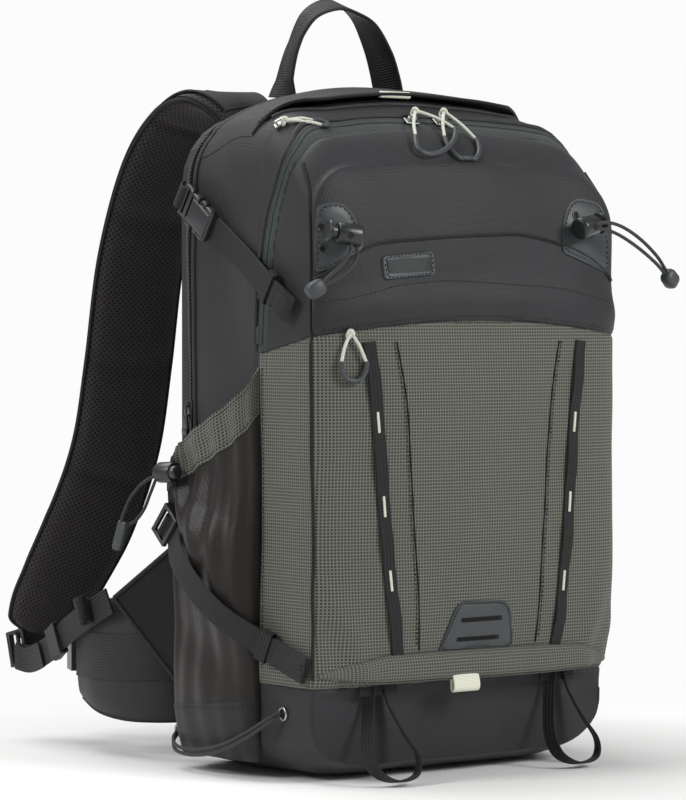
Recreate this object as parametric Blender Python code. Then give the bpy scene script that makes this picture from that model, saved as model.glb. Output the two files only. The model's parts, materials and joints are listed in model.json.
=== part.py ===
"""Ski backpack of about 26 litres, with a hinged back panel, shoulder straps and a hip belt.

Metres, +Z up. The front faces -Y, the wearer's back is at +Y, and the wearer's left is -X.
The origin is the centre of the flat base that the pack stands on.
"""
import math

import bmesh
import bpy
from mathutils import Matrix, Vector
from mathutils.bvhtree import BVHTree

# ---------------------------------------------------------------- driving dimensions
SHELL = 0.0045             # padded fabric wall
GAP = 0.0005               # clearance between neighbouring pieces
BASE_FLAT_HALF = 0.085     # half-width of the flat base
BASE_CORNER = 0.030        # height of the rolled lower edge
LOWER_SEAM_Z = 0.076       # bottom panel meets front pocket
UPPER_SEAM_Z = 0.324       # front pocket meets front upper panel
GUSSET_Y = -0.040          # front compartment meets main compartment
ZIP_BEND_Z = 0.385         # the front zip leaves the straight gusset here
ZIP_TOP_Y = -0.066         # the front zip's place over the top
ZIP_TOP_Z = 0.450
ZIP_TAPE = 0.010           # width of the front zip's tape
REAR_Y = 0.056             # rear rim, where the back panel closes
REAR_TAPE = 0.010
FRONT_BULGE = 0.025        # how far the front swells past its edges
BOTTOM_BULGE = 0.005       # the same for the bottom panel, which the pocket overhangs
FRONT_CENTRE_Z = 0.22

# Sections of the bag body across its depth:
# depth y, half-width, top, bottom, crown slope in degrees, top corner radius
SECTIONS = [
    (0.056, 0.1365, 0.5090, 0.0000, 25, 0.055),
    (0.030, 0.1390, 0.5115, 0.0000, 24, 0.054),
    (0.000, 0.1400, 0.5105, 0.0000, 20, 0.050),
    (-0.030, 0.1400, 0.5035, 0.0000, 14, 0.044),
    (-0.050, 0.1400, 0.4935, 0.0000, 9, 0.038),
    (-0.066, 0.1400, 0.4820, 0.0010, 6, 0.035),
    (-0.085, 0.1400, 0.4690, 0.0060, 6, 0.035),
    (-0.100, 0.1390, 0.4530, 0.0120, 6, 0.036),
]
FRONT_RINGS = (0.94, 0.80, 0.55, 0.28)     # front face rings, as a share of the outline

HINGE_Y = 0.0575           # the back panel's fold line
HINGE_Z = 0.0060
WEBBING = 0.0016           # webbing thickness
STRAP_WIDTH = 0.020        # compression strap width

X, Y, Z = Vector((1, 0, 0)), Vector((0, 1, 0)), Vector((0, 0, 1))

for old in list(bpy.data.objects):
    bpy.data.objects.remove(old, do_unlink=True)


# ---------------------------------------------------------------- materials
def material(name, colour, roughness, metallic=0.0):
    mat = bpy.data.materials.new(name)
    mat.use_nodes = True
    shader = mat.node_tree.nodes["Principled BSDF"]
    shader.inputs["Base Color"].default_value = (*colour, 1.0)
    shader.inputs["Roughness"].default_value = roughness
    shader.inputs["Metallic"].default_value = metallic
    return mat


FINISHES = {
    "nylon": ((0.020, 0.020, 0.022), 0.75, 0.0),
    "ripstop": ((0.070, 0.070, 0.058), 0.80, 0.0),
    "stretch": ((0.030, 0.026, 0.024), 0.85, 0.0),
    "mesh": ((0.022, 0.018, 0.018), 0.95, 0.0),
    "zip_tape": ((0.035, 0.042, 0.038), 0.80, 0.0),
    "webbing": ((0.012, 0.012, 0.012), 0.80, 0.0),
    "elastic": ((0.020, 0.020, 0.020), 0.70, 0.0),
    "cream_cord": ((0.720, 0.720, 0.600), 0.60, 0.0),
    "rubber": ((0.030, 0.034, 0.035), 0.60, 0.0),
    "acetal": ((0.030, 0.032, 0.034), 0.35, 0.0),
    "foam": ((0.030, 0.030, 0.032), 0.90, 0.0),
    "sheet_plastic": ((0.040, 0.040, 0.040), 0.50, 0.0),
    "aluminium": ((0.600, 0.600, 0.600), 0.35, 1.0),
    "nickel": ((0.500, 0.500, 0.480), 0.30, 1.0),
}


# ---------------------------------------------------------------- mesh helpers
def add_object(name, bm, finish, origin=(0, 0, 0), smooth=True):
    """Make one named object from a mesh built in world space, with its origin on `origin`."""
    bmesh.ops.recalc_face_normals(bm, faces=bm.faces)
    mesh = bpy.data.meshes.new(name)
    bmesh.ops.translate(bm, verts=bm.verts, vec=-Vector(origin))
    bm.to_mesh(mesh)
    bm.free()
    if smooth:
        mesh.shade_smooth()
        mesh.set_sharp_from_angle(angle=math.radians(40))
    obj = bpy.data.objects.new(name, mesh)
    obj.location = origin
    bpy.context.collection.objects.link(obj)
    if finish:
        mesh.materials.append(material(name, *FINISHES[finish]))
    else:                                   # a cutter or guide
        obj.hide_render = True
        obj.display_type = "WIRE"
    return obj


def loft(rings, closed_path=False):
    """Join rings of equal length into a tube, capped at both ends unless the path is closed."""
    bm = bmesh.new()
    rows = [[bm.verts.new(p) for p in ring] for ring in rings]
    count = len(rows[0])
    last = len(rows) if closed_path else len(rows) - 1
    for i in range(last):
        row, following = rows[i], rows[(i + 1) % len(rows)]
        for j in range(count):
            k = (j + 1) % count
            bm.faces.new((row[j], row[k], following[k], following[j]))
    if not closed_path:
        bm.faces.new(rows[0])
        bm.faces.new(rows[-1])
    return bm


def prism(outline, along, start, end):
    """Extrude a closed outline of points from `start` to `end` along a unit vector."""
    return loft([[Vector(p) + along * d for p in outline] for d in (start, end)])


def cut(obj, other, how):
    mod = obj.modifiers.new(how.lower(), "BOOLEAN")
    mod.operation = how
    mod.solver = "EXACT"
    mod.object = other


def smooth_path(points, steps):
    """Points along a Catmull-Rom curve through the given points."""
    pts = [Vector(p) for p in points]
    pts = [2 * pts[0] - pts[1]] + pts + [2 * pts[-1] - pts[-2]]
    out = []
    for i in range(1, len(pts) - 2):
        a, b, c, d = pts[i - 1:i + 3]
        for s in range(steps):
            t = s / steps
            out.append(0.5 * (2 * b + (c - a) * t + (2 * a - 5 * b + 4 * c - d) * t * t
                              + (3 * b - a - 3 * c + d) * t ** 3))
    out.append(pts[-2])
    return out


def tangents(path, closed=False):
    count = len(path)
    out = []
    for i in range(count):
        if closed:
            out.append((path[(i + 1) % count] - path[i - 1]).normalized())
        else:
            out.append((path[min(i + 1, count - 1)] - path[max(i - 1, 0)]).normalized())
    return out


def sweep(path, across, profile, widths=None, depths=None, closed=False):
    """Sweep a profile of (across, out) offsets along a path; `across` gives the width direction."""
    rings = []
    for i, (point, along) in enumerate(zip(path, tangents(path, closed))):
        side = across[i] if isinstance(across, list) else across
        side = (side - along * side.dot(along)).normalized()
        out = along.cross(side)
        wide = widths[i] if widths else 1.0
        deep = depths[i] if depths else 1.0
        rings.append([point + side * (a * wide) + out * (b * deep) for a, b in profile])
    return loft(rings, closed)


def flat_profile(width, thickness):
    w, t = width / 2, thickness / 2
    return [(-w, -t), (w, -t), (w, t), (-w, t)]


def padded_profile(width, thickness):
    w, t = width / 2, thickness / 2
    return [(-w, 0), (-0.86 * w, -0.8 * t), (-0.5 * w, -t), (0.5 * w, -t), (0.86 * w, -0.8 * t),
            (w, 0), (0.86 * w, 0.8 * t), (0.5 * w, t), (-0.5 * w, t), (-0.86 * w, 0.8 * t)]


def round_profile(radius, sides=8):
    turn = 2 * math.pi / sides
    return [(radius * math.cos(turn * i), radius * math.sin(turn * i)) for i in range(sides)]


def grid_plate(xs, ys, holes, thickness, frame):
    """A flat plate on a grid of cut lines, with the cells in `holes` left open."""
    bm = bmesh.new()
    top, low = {}, {}
    cells = [(i, j) for i in range(len(xs) - 1) for j in range(len(ys) - 1) if (i, j) not in holes]

    def vert(table, i, j, height):
        if (i, j) not in table:
            table[i, j] = bm.verts.new(frame @ Vector((xs[i], ys[j], height)))
        return table[i, j]

    def pair(i, j):
        return vert(top, i, j, thickness), vert(low, i, j, 0.0)

    for i, j in cells:
        corners = [pair(i, j), pair(i + 1, j), pair(i + 1, j + 1), pair(i, j + 1)]
        bm.faces.new([c[0] for c in corners])
        bm.faces.new([c[1] for c in reversed(corners)])
        neighbours = [(i, j - 1), (i + 1, j), (i, j + 1), (i - 1, j)]
        for k, beside in enumerate(neighbours):
            if beside not in cells:
                a, b = corners[k], corners[(k + 1) % 4]
                bm.faces.new((a[0], a[1], b[1], b[0]))
    return bm


def facing(centre, across, out):
    """A frame at `centre` with local x along `across` and local z along `out`."""
    z_axis = Vector(out).normalized()
    x_axis = Vector(across)
    x_axis = (x_axis - z_axis * x_axis.dot(z_axis)).normalized()
    y_axis = z_axis.cross(x_axis)
    return Matrix.Translation(Vector(centre)) @ Matrix((x_axis, y_axis, z_axis)).transposed().to_4x4()


def mirrored(point, side):
    """A point given for the wearer's left (-X), moved to the side asked for."""
    return Vector((-side * point[0], point[1], point[2]))


SIDES = (("left", -1), ("right", 1))


# ---------------------------------------------------------------- the bag's outer form
def outline(half, top, bottom, slope, radius, offset):
    """Front-view outline of the bag: flat base, rolled lower edges, round shoulders, crowned top."""
    half, top, bottom, radius = half - offset, top - offset, bottom + offset, radius - offset
    lean = math.radians(slope)
    crown_x = half - radius + radius * math.sin(lean)
    crown = crown_x * math.tan(lean) / 2
    corner_z = top - crown - radius * math.cos(lean)
    right = []
    for k in range(1, 4):
        turn = math.radians(-90 + 30 * k)
        right.append((BASE_FLAT_HALF + (half - BASE_FLAT_HALF) * math.cos(turn),
                      bottom + BASE_CORNER * (1 + math.sin(turn))))
    foot_z = bottom + BASE_CORNER
    for k in range(1, 6):
        right.append((half, foot_z + (corner_z - foot_z) * k / 5))
    for k in range(1, 5):
        turn = (math.pi / 2 - lean) * k / 4
        right.append((half - radius + radius * math.cos(turn), corner_z + radius * math.sin(turn)))
    for k in range(1, 3):
        x = crown_x * (1 - k / 3)
        right.append((x, top - crown * (x / crown_x) ** 2))
    base = [(BASE_FLAT_HALF * k / 2, bottom) for k in range(3)]
    half_loop = base + right
    return half_loop + [(0.0, top)] + [(-x, z) for x, z in reversed(half_loop[1:])]


def front_depth(share, bulge):
    """How far the front face stands forward at a share of its outline."""
    return SECTIONS[-1][0] - bulge * (1 - share ** 2.2) ** 0.6


def bag_form(offset, rear=None, bulge=FRONT_BULGE):
    """The bag's outer form moved in by `offset`; `rear` extends it backwards."""
    rings = []
    if rear is not None:
        rings.append([(x, rear, z) for x, z in outline(*SECTIONS[0][1:], offset)])
    for y, *section in SECTIONS:
        shift = offset if y == SECTIONS[-1][0] else 0.0
        rings.append([(x, y + shift, z) for x, z in outline(*section, offset)])
    edge = outline(*SECTIONS[-1][1:], offset)
    for share in FRONT_RINGS:
        y = front_depth(share, bulge) + offset
        rings.append([(x * share, y, FRONT_CENTRE_Z + (z - FRONT_CENTRE_Z) * share) for x, z in edge])
    return loft(rings)


outer_form = add_object("outer_form", bag_form(0.0), None)
inner_form = add_object("inner_form", bag_form(SHELL, REAR_Y + 0.01), None)
low_outer_form = add_object("low_outer_form", bag_form(0.0, None, BOTTOM_BULGE), None)
low_inner_form = add_object("low_inner_form", bag_form(SHELL, REAR_Y + 0.01, BOTTOM_BULGE), None)
flap_outer_form = add_object("flap_outer_form", bag_form(-0.0040, REAR_Y + 0.01), None)
flap_inner_form = add_object("flap_inner_form", bag_form(-3 * GAP, REAR_Y + 0.01), None)

def skin_of(form):
    form.normal_update()
    tree = BVHTree.FromBMesh(form)
    form.free()
    return tree


SKIN = skin_of(bag_form(0.0))
LOW_SKIN = skin_of(bag_form(0.0, None, BOTTOM_BULGE))


def on_skin(point, toward, lift, skin=SKIN):
    """The point on the bag's outside met from `point` along `toward`, raised by `lift`."""
    hit, normal, _, _ = skin.ray_cast(Vector(point) - toward, toward)
    if normal.dot(toward) > 0:
        normal = -normal
    return hit + normal * lift, normal


# ---------------------------------------------------------------- fabric panels of the bag
def panel(name, profile, finish, outer=outer_form, inner=inner_form):
    """A fabric wall: the part of the bag's shell inside a side-view profile of (y, z) corners."""
    bm = prism([(0, y, z) for y, z in profile], X, -0.2, 0.2)
    obj = add_object(name, bm, finish)
    cut(obj, outer, "INTERSECT")
    cut(obj, inner, "DIFFERENCE")
    return obj


FAR = 0.6
zip_front = GUSSET_Y - ZIP_TAPE
zip_top_front = ZIP_TOP_Y - ZIP_TAPE

panel("bottom_panel", [(-FAR, -0.1), (REAR_Y + 0.005, -0.1), (REAR_Y + 0.005, LOWER_SEAM_Z - GAP),
                       (-FAR, LOWER_SEAM_Z - GAP)], "nylon",
      low_outer_form, low_inner_form)
panel("front_pocket_panel", [(-FAR, LOWER_SEAM_Z), (GUSSET_Y, LOWER_SEAM_Z),
                             (GUSSET_Y, UPPER_SEAM_Z - GAP), (-FAR, UPPER_SEAM_Z - GAP)], "ripstop")
panel("front_upper_panel", [(-FAR, UPPER_SEAM_Z), (zip_front - GAP, UPPER_SEAM_Z),
                            (zip_front - GAP, ZIP_BEND_Z), (zip_top_front - GAP, ZIP_TOP_Z),
                            (zip_top_front - GAP, FAR), (-FAR, FAR)], "nylon")
panel("front_zip_tape", [(zip_front, UPPER_SEAM_Z), (GUSSET_Y, UPPER_SEAM_Z),
                         (GUSSET_Y, ZIP_BEND_Z), (ZIP_TOP_Y, ZIP_TOP_Z), (ZIP_TOP_Y, FAR),
                         (zip_top_front, FAR), (zip_top_front, ZIP_TOP_Z),
                         (zip_front, ZIP_BEND_Z)], "zip_tape")
panel("main_panel", [(GUSSET_Y + GAP, LOWER_SEAM_Z), (REAR_Y - REAR_TAPE - GAP, LOWER_SEAM_Z),
                     (REAR_Y - REAR_TAPE - GAP, FAR), (ZIP_TOP_Y + GAP, FAR),
                     (ZIP_TOP_Y + GAP, ZIP_TOP_Z), (GUSSET_Y + GAP, ZIP_BEND_Z)], "nylon")
panel("rear_zip_tape", [(REAR_Y - REAR_TAPE, LOWER_SEAM_Z), (REAR_Y + 0.005, LOWER_SEAM_Z),
                        (REAR_Y + 0.005, FAR), (REAR_Y - REAR_TAPE, FAR)], "zip_tape")
FLAP_EDGE_Y = -0.026
FLAP_SIDE_Z = 0.462
panel("storm_flap", [(FLAP_EDGE_Y, FLAP_SIDE_Z), (REAR_Y - REAR_TAPE, FLAP_SIDE_Z),
                     (REAR_Y - REAR_TAPE, FAR), (FLAP_EDGE_Y, FAR)],
      "nylon", flap_outer_form, flap_inner_form)

# Padded wall between the two compartments.
DIVIDER_REAR = -0.0280
DIVIDER_FRONT = -0.0340
divider_section = outline(0.1400, 0.4980, 0.0000, 13, 0.043, SHELL + 2 * GAP)
add_object("compartment_divider",
           prism([(x, 0, z) for x, z in divider_section], Y, DIVIDER_FRONT, DIVIDER_REAR), "foam")

# ---------------------------------------------------------------- stretch side pockets
POCKET_CENTRE_Y = 0.008
POCKET_HALF_DEPTH = 0.046
POCKET_FLOOR_Z = 0.026
POCKET_FRONT_TOP = 0.303
POCKET_REAR_TOP = 0.240
POCKET_WALL = 0.002
POCKET_SIDE_X = 0.1412
POCKET_SWELL = ((0.0, 0.015), (0.12, 0.022), (0.45, 0.026), (0.80, 0.020), (1.0, 0.015))


def pocket_form(side, inset, rise):
    """Half-round column against the bag's side, with a mouth that slopes down to the rear."""
    rings = []
    for share, swell in POCKET_SWELL:
        ring = []
        for k in range(9):
            turn = math.pi * k / 8
            y = POCKET_CENTRE_Y - (POCKET_HALF_DEPTH - inset) * math.cos(turn)
            x = POCKET_SIDE_X + (swell - inset) * math.sin(turn)
            mouth = POCKET_FRONT_TOP + (POCKET_REAR_TOP - POCKET_FRONT_TOP) * k / 8
            low = POCKET_FLOOR_Z + inset
            ring.append((side * x, y, low + (mouth + rise - low) * share))
        if inset:
            for k in (8, 0):
                x, y, z = ring[k]
                ring.append((side * (POCKET_SIDE_X - 0.02), y, z))
        rings.append(ring)
    return loft(rings)


for label, side in SIDES:
    pocket = add_object(f"side_pocket_{label}", pocket_form(side, 0.0, 0.0), "stretch")
    hollow = add_object(f"pocket_hollow_{label}", pocket_form(side, POCKET_WALL, 0.03), None)
    cut(pocket, hollow, "DIFFERENCE")

# ---------------------------------------------------------------- front trim
DAISY = ((0.100, 0.318), (0.097, 0.260), (0.090, 0.180), (0.077, 0.096))
DAISY_WIDTH = 0.0105
for label, side in SIDES:
    path, across = [], []
    for point in smooth_path([(side * x, 0, z) for x, z in DAISY], 5):
        spot, normal = on_skin(point, Y, 0.0016)
        path.append(spot)
        across.append(normal.cross(Z))
    add_object(f"daisy_chain_{label}", sweep(path, across, flat_profile(DAISY_WIDTH, WEBBING)),
               "webbing")

# Rubber patches that anchor the front bungees: a D with its flat side outwards.
PATCH_X = 0.1075
PATCH_Z = 0.4020
for label, side in SIDES:
    spot, normal = on_skin((side * PATCH_X, 0, PATCH_Z), Y, 0.0012)
    frame = facing(spot, Vector((-side, 0, 0)), normal)
    shape = [(-0.016, -0.024), (0.008, -0.024), (0.016, -0.014), (0.016, 0.010), (0.008, 0.021),
             (-0.004, 0.024), (-0.016, 0.024)]
    add_object(f"bungee_patch_{label}",
               loft([[frame @ Vector((u, side * -v, h)) for u, v in shape] for h in (0, 0.0018)]),
               "rubber")

# Rolled lip of the front pocket, across the front just above the bottom panel.
lip_path = []
for k in range(13):
    spot, _ = on_skin((-0.130 + 0.260 * k / 12, 0, 0.0830), Y, 0.0047)
    lip_path.append(spot)
add_object("pocket_lip", sweep(lip_path, Z, [(-0.0035, -0.0035), (0.007, -0.0035), (0.007, 0.001),
                                             (0.003, 0.0035), (-0.0035, 0.0025)]), "ripstop")

# ---------------------------------------------------------------- compression straps
UPPER_TOP = Vector((0, 0.040, 0.424))        # latch end of the upper strap
UPPER_END = Vector((0, -0.082, 0.343))       # sewn end
UPPER_X = 0.1430
RUN = (UPPER_END - UPPER_TOP).normalized()
LOWER_STRAP = ((-0.1590, 0.044, 0.177), (-0.1695, 0.025, 0.160), (-0.1715, 0.002, 0.141),
               (-0.1670, -0.020, 0.123), (-0.1560, -0.038, 0.109), (-0.1465, -0.055, 0.099),
               (-0.1432, -0.074, 0.091), (-0.1430, -0.095, 0.085))
for label, side in SIDES:
    out = Vector((side, 0, 0))
    start = UPPER_TOP + RUN * 0.004 + out * UPPER_X
    end = UPPER_END + out * UPPER_X
    across = out.cross(RUN)
    steps = [start.lerp(end, k / 4) for k in range(5)]
    add_object(f"upper_strap_{label}", sweep(steps, across, flat_profile(STRAP_WIDTH, WEBBING)),
               "webbing")

    # Socket half of the buckle: a sleeve that slides on the strap.
    sleeve = facing(start + RUN * 0.006 - out * 0.0012, across, RUN)
    ring_out = [(-0.0130, -0.0012), (0.0130, -0.0012), (0.0130, 0.0090), (-0.0130, 0.0090)]
    ring_in = [(-0.0108, 0.0002), (0.0108, 0.0002), (0.0108, 0.0068), (-0.0108, 0.0068)]
    up = (sleeve.inverted().to_3x3() @ out).y
    bm = bmesh.new()
    rows = []
    for ring, height in ((ring_out, 0), (ring_out, 0.026), (ring_in, 0.026), (ring_in, 0)):
        rows.append([bm.verts.new(sleeve @ Vector((u, v * up, height))) for u, v in ring])
    for i in range(4):
        row, following = rows[i], rows[(i + 1) % 4]
        for j in range(4):
            k = (j + 1) % 4
            bm.faces.new((row[j], row[k], following[k], following[j]))
    add_object(f"upper_buckle_{label}", bm, "acetal", start + RUN * 0.019)

    # Latch half, sewn to the bag: a crossbar with a tongue that enters the sleeve.
    latch = facing(start - RUN * 0.0035 + out * 0.0016, across, out)
    sign = 1 if (latch.inverted().to_3x3() @ RUN).y > 0 else -1
    shape = [(-0.0120, -0.010), (0.0120, -0.010), (0.0120, 0.0), (0.0085, 0.004),
             (0.0085, 0.022), (-0.0085, 0.022), (-0.0085, 0.004), (-0.0120, 0.0)]
    add_object(f"upper_latch_{label}",
               loft([[latch @ Vector((u, v * sign, h)) for u, v in shape] for h in (0, 0.0028)]),
               "acetal")

    path = smooth_path([mirrored(p, side) for p in LOWER_STRAP], 3)
    lower_across = [out.cross(along) for along in tangents(path)]
    add_object(f"lower_strap_{label}", sweep(path, lower_across,
                                             flat_profile(STRAP_WIDTH, WEBBING)), "webbing")
    along = (path[0] - path[1]).normalized()
    frame = facing(path[0] + along * 0.0092 + out * 0.0040, out.cross(along), out)
    add_object(f"lower_ladder_{label}",
               grid_plate([-0.0135, -0.0105, 0.0105, 0.0135],
                          [-0.0080, -0.0055, -0.0015, 0.0015, 0.0055, 0.0080],
                          {(1, 1), (1, 3)}, 0.0035, frame), "acetal", smooth=False)

# ---------------------------------------------------------------- webbing loops for skis and axes
LOOP_X = 0.087
LOOP_TOP_Z = 0.070
LOOP = ((-0.0055, 0.070, 0.0000), (-0.0100, 0.052, 0.0030), (-0.0190, 0.027, 0.0140),
        (-0.0200, 0.0125, 0.0240), (-0.0110, 0.0050, 0.0300), (0.0030, 0.0042, 0.0310),
        (0.0160, 0.0085, 0.0270), (0.0220, 0.0200, 0.0190), (0.0170, 0.0360, 0.0090),
        (0.0090, 0.0560, 0.0020), (0.0055, 0.0700, 0.0000))
for label, side in SIDES:
    spot, normal = on_skin((side * LOOP_X, 0, LOOP_TOP_Z), Y, 0.0060, LOW_SKIN)
    points = [(side * LOOP_X + u, spot.y - forward, z) for u, z, forward in LOOP]
    path = smooth_path(points, 2)
    add_object(f"tool_loop_{label}", sweep(path, Y, flat_profile(0.009, WEBBING)), "webbing",
               (side * LOOP_X, spot.y, LOOP_TOP_Z))

# ---------------------------------------------------------------- haul handle
HANDLE_X = 0.052
HANDLE_Y = 0.0505
HANDLE_Z = 0.5080
HANDLE_RISE = 0.070
HANDLE_PATH = ((-1.00, 0.00), (-0.93, 0.24), (-0.78, 0.55), (-0.50, 0.86), (-0.15, 1.00),
               (0.15, 1.00), (0.50, 0.86), (0.78, 0.55), (0.93, 0.24), (1.00, 0.00))
path = smooth_path([(HANDLE_X * u, HANDLE_Y, HANDLE_Z + HANDLE_RISE * v) for u, v in HANDLE_PATH], 2)
across = []
for along, k in zip(tangents(path), range(len(path))):
    share = min(k, len(path) - 1 - k) / (len(path) - 1)
    twist = min(1.0, share / 0.30) * math.pi / 2
    in_plane = along.cross(Y)
    across.append(in_plane * math.cos(twist) + Y * math.sin(twist))
add_object("haul_handle", sweep(path, across, flat_profile(0.021, 0.0030)), "webbing",
           (0, HANDLE_Y, HANDLE_Z))

# ---------------------------------------------------------------- front bungees and cord locks
LOCK_PLACE = {"left": (-0.1210, 0.3905), "right": (0.1000, 0.4045)}
LOCK_RADIUS = 0.0065
LOCK_LENGTH = 0.020
SOCKET_RADIUS = 0.0050
SOCKET_DEPTH = 0.0080
PLUNGER_RADIUS = 0.0045
PLUNGER_INSIDE = 0.0030
PLUNGER_OUTSIDE = 0.0050
BUNGEE_THICK = 0.0045
BUNGEE_LEFT = ((-0.1235, -0.1225, 0.3810), (-0.1285, -0.1235, 0.3755), (-0.1355, -0.1240, 0.3680),
               (-0.1425, -0.1240, 0.3600), (-0.1470, -0.1240, 0.3550))
BUNGEE_RIGHT = ((0.1040, -0.1330, 0.4050), (0.1150, -0.1340, 0.4050), (0.1300, -0.1340, 0.4010),
                (0.1490, -0.1330, 0.3925), (0.1680, -0.1310, 0.3810), (0.1790, -0.1290, 0.3725))
BUNGEE_END = ((0.0030, 0.0), (0.0062, 0.0020), (0.0068, 0.0110), (0.0045, 0.0150))
for (label, side), route in zip(SIDES, (BUNGEE_LEFT, BUNGEE_RIGHT)):
    lock_x, lock_z = LOCK_PLACE[label]
    spot, normal = on_skin((lock_x, 0, lock_z), Y, 0.0052 + LOCK_RADIUS)
    axis = Vector((-normal.y, normal.x, 0)).normalized() * side
    inner_end = spot - axis * LOCK_LENGTH / 2
    outer_end = spot + axis * LOCK_LENGTH / 2
    stations = [inner_end, outer_end, outer_end, outer_end - axis * SOCKET_DEPTH]
    radii = [LOCK_RADIUS, LOCK_RADIUS, SOCKET_RADIUS, SOCKET_RADIUS]
    out = axis.cross(Z)
    add_object(f"bungee_lock_{label}",
               loft([[centre + Z * (radius * math.cos(math.pi * k / 4))
                      + out * (radius * math.sin(math.pi * k / 4)) for k in range(8)]
                     for centre, radius in zip(stations, radii)]), "acetal")
    button = outer_end - axis * PLUNGER_INSIDE
    add_object(f"lock_plunger_{label}",
               sweep([button, outer_end + axis * PLUNGER_OUTSIDE], Z, round_profile(PLUNGER_RADIUS)),
               "acetal", button)

    path = smooth_path(route, 3)
    along = (path[-1] - path[-2]).normalized()
    radii = [BUNGEE_THICK / 2] * len(path)
    for radius, distance in BUNGEE_END:
        path.append(Vector(route[-1]) + along * (distance + 0.0002))
        radii.append(radius)
    add_object(f"front_bungee_{label}", sweep(path, Z, round_profile(1.0), radii, radii), "elastic")

# Base bungees: an elastic cord that sags between two eyelets on each lower side.
BASE_BUNGEE = ((-0.1440, -0.0690, 0.0500), (-0.1500, -0.0620, 0.0450), (-0.1560, -0.0430, 0.0330),
               (-0.1600, -0.0150, 0.0210), (-0.1610, 0.0150, 0.0155), (-0.1590, 0.0400, 0.0160),
               (-0.1520, 0.0540, 0.0210), (-0.1440, 0.0580, 0.0270))
for label, side in SIDES:
    path = smooth_path([mirrored(p, side) for p in BASE_BUNGEE], 3)
    add_object(f"base_bungee_{label}", sweep(path, Z, round_profile(0.0020, 6)), "elastic")

# ---------------------------------------------------------------- zip sliders and their pulls
def teardrop(top, down, across, length, width, count=14):
    """Closed path of a pull: narrow at the slider, round at the free end."""
    path = []
    for k in range(count):
        turn = 2 * math.pi * k / count
        reach = (1 - math.cos(turn)) / 2
        spread = math.sin(turn) * (0.28 + 0.72 * reach)
        path.append(top + down * (length * reach) + across * (width / 2 * spread))
    return path


SLIDER_X = {"left": -0.0240, "right": 0.0020}      # parked together, a little left of centre
for label, side in SIDES:
    spot, normal = on_skin((SLIDER_X[label], ZIP_TOP_Y - 0.004, 0), -Z, 0.0008)
    frame = facing(spot, X, normal)
    shape = [(-0.0055, -0.0045), (0.0055, -0.0045), (0.0065, 0.0), (0.0055, 0.0045),
             (-0.0055, 0.0045), (-0.0065, 0.0)]
    add_object(f"front_slider_{label}",
               loft([[frame @ Vector((u, v, h)) for u, v in shape] for h in (0, 0.0050)]),
               "nickel", spot)
    down = Vector((0.05, -0.82, -0.57)).normalized()
    pivot = spot + normal * 0.0072 + down * 0.0065
    width = (X - down * down.x).normalized()
    add_object(f"front_pull_{label}",
               sweep(teardrop(pivot, down, width, 0.038, 0.022), normal, round_profile(0.0016, 6),
                     closed=True), "cream_cord", pivot)

spot, normal = on_skin((-0.1155, 0, 0.330), Y, 0.0052)
down = Vector((0.0, -0.10, -1.0)).normalized()
add_object("pocket_pull", sweep(teardrop(spot, down, X, 0.044, 0.020), normal,
                                round_profile(0.0016, 6), closed=True), "cream_cord", spot)

REAR_SLIDER_Z = 0.276
add_object("rear_slider",
           prism([(-0.1420, 0.0470, 0), (-0.1480, 0.0480, 0), (-0.1480, 0.0550, 0),
                  (-0.1420, 0.0560, 0)], Z, REAR_SLIDER_Z - 0.022, REAR_SLIDER_Z),
           "nickel", (-0.1450, 0.0510, REAR_SLIDER_Z))

# ---------------------------------------------------------------- hinged back panel
PANEL_FRONT = REAR_Y + GAP
PANEL_REAR = 0.0650
HINGE = (0, HINGE_Y, HINGE_Z)


def rear_outline(offset):
    return outline(*SECTIONS[0][1:], offset)


panel_points = [(x, 0, max(z, 0.0125)) for x, z in rear_outline(0.0005)]
add_object("back_panel", prism(panel_points, Y, PANEL_FRONT, PANEL_REAR), "foam", HINGE)
sheet_points = [(x, 0, z) for x, z in rear_outline(0.016)]
add_object("frame_sheet", prism(sheet_points, Y, 0.0460, 0.0475), "sheet_plastic", HINGE)

# Aluminium stay: one flat bar bent into an upside-down U.
stay = smooth_path([(-0.075, 0.0515, 0.045), (-0.078, 0.0515, 0.20), (-0.078, 0.0515, 0.36),
                    (-0.066, 0.0515, 0.430), (-0.030, 0.0515, 0.458), (0.030, 0.0515, 0.458),
                    (0.066, 0.0515, 0.430), (0.078, 0.0515, 0.36), (0.078, 0.0515, 0.20),
                    (0.075, 0.0515, 0.045)], 2)
add_object("frame_stay", sweep(stay, Y, flat_profile(0.0030, 0.0100)), "aluminium", HINGE)

PAD_FRONT = PANEL_REAR + GAP


def pad(name, centre, width, height, thickness, finish):
    """Padded block on the back panel, with rounded corners and softened rear edges."""
    rings = []
    for depth, inset in ((0.0, 0.0), (0.6, 0.0), (0.9, 0.003), (1.0, 0.008)):
        ring = []
        for corner, (u, v) in enumerate(((1, -1), (1, 1), (-1, 1), (-1, -1))):
            radius = 0.018
            for k in range(3):
                turn = math.radians(-90 + 90 * corner + 45 * k)
                cx = u * (width / 2 - radius)
                cz = v * (height / 2 - radius)
                reach = radius - inset
                ring.append((centre[0] + cx + reach * math.cos(turn), PAD_FRONT + thickness * depth,
                             centre[1] + cz + reach * math.sin(turn)))
        rings.append(ring)
    add_object(name, loft(rings), finish, HINGE)


for label, side in SIDES:
    pad(f"back_pad_{label}", (side * 0.058, 0.300), 0.088, 0.270, 0.016, "mesh")
pad("lumbar_pad", (0.0, 0.095), 0.200, 0.105, 0.018, "mesh")

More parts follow.
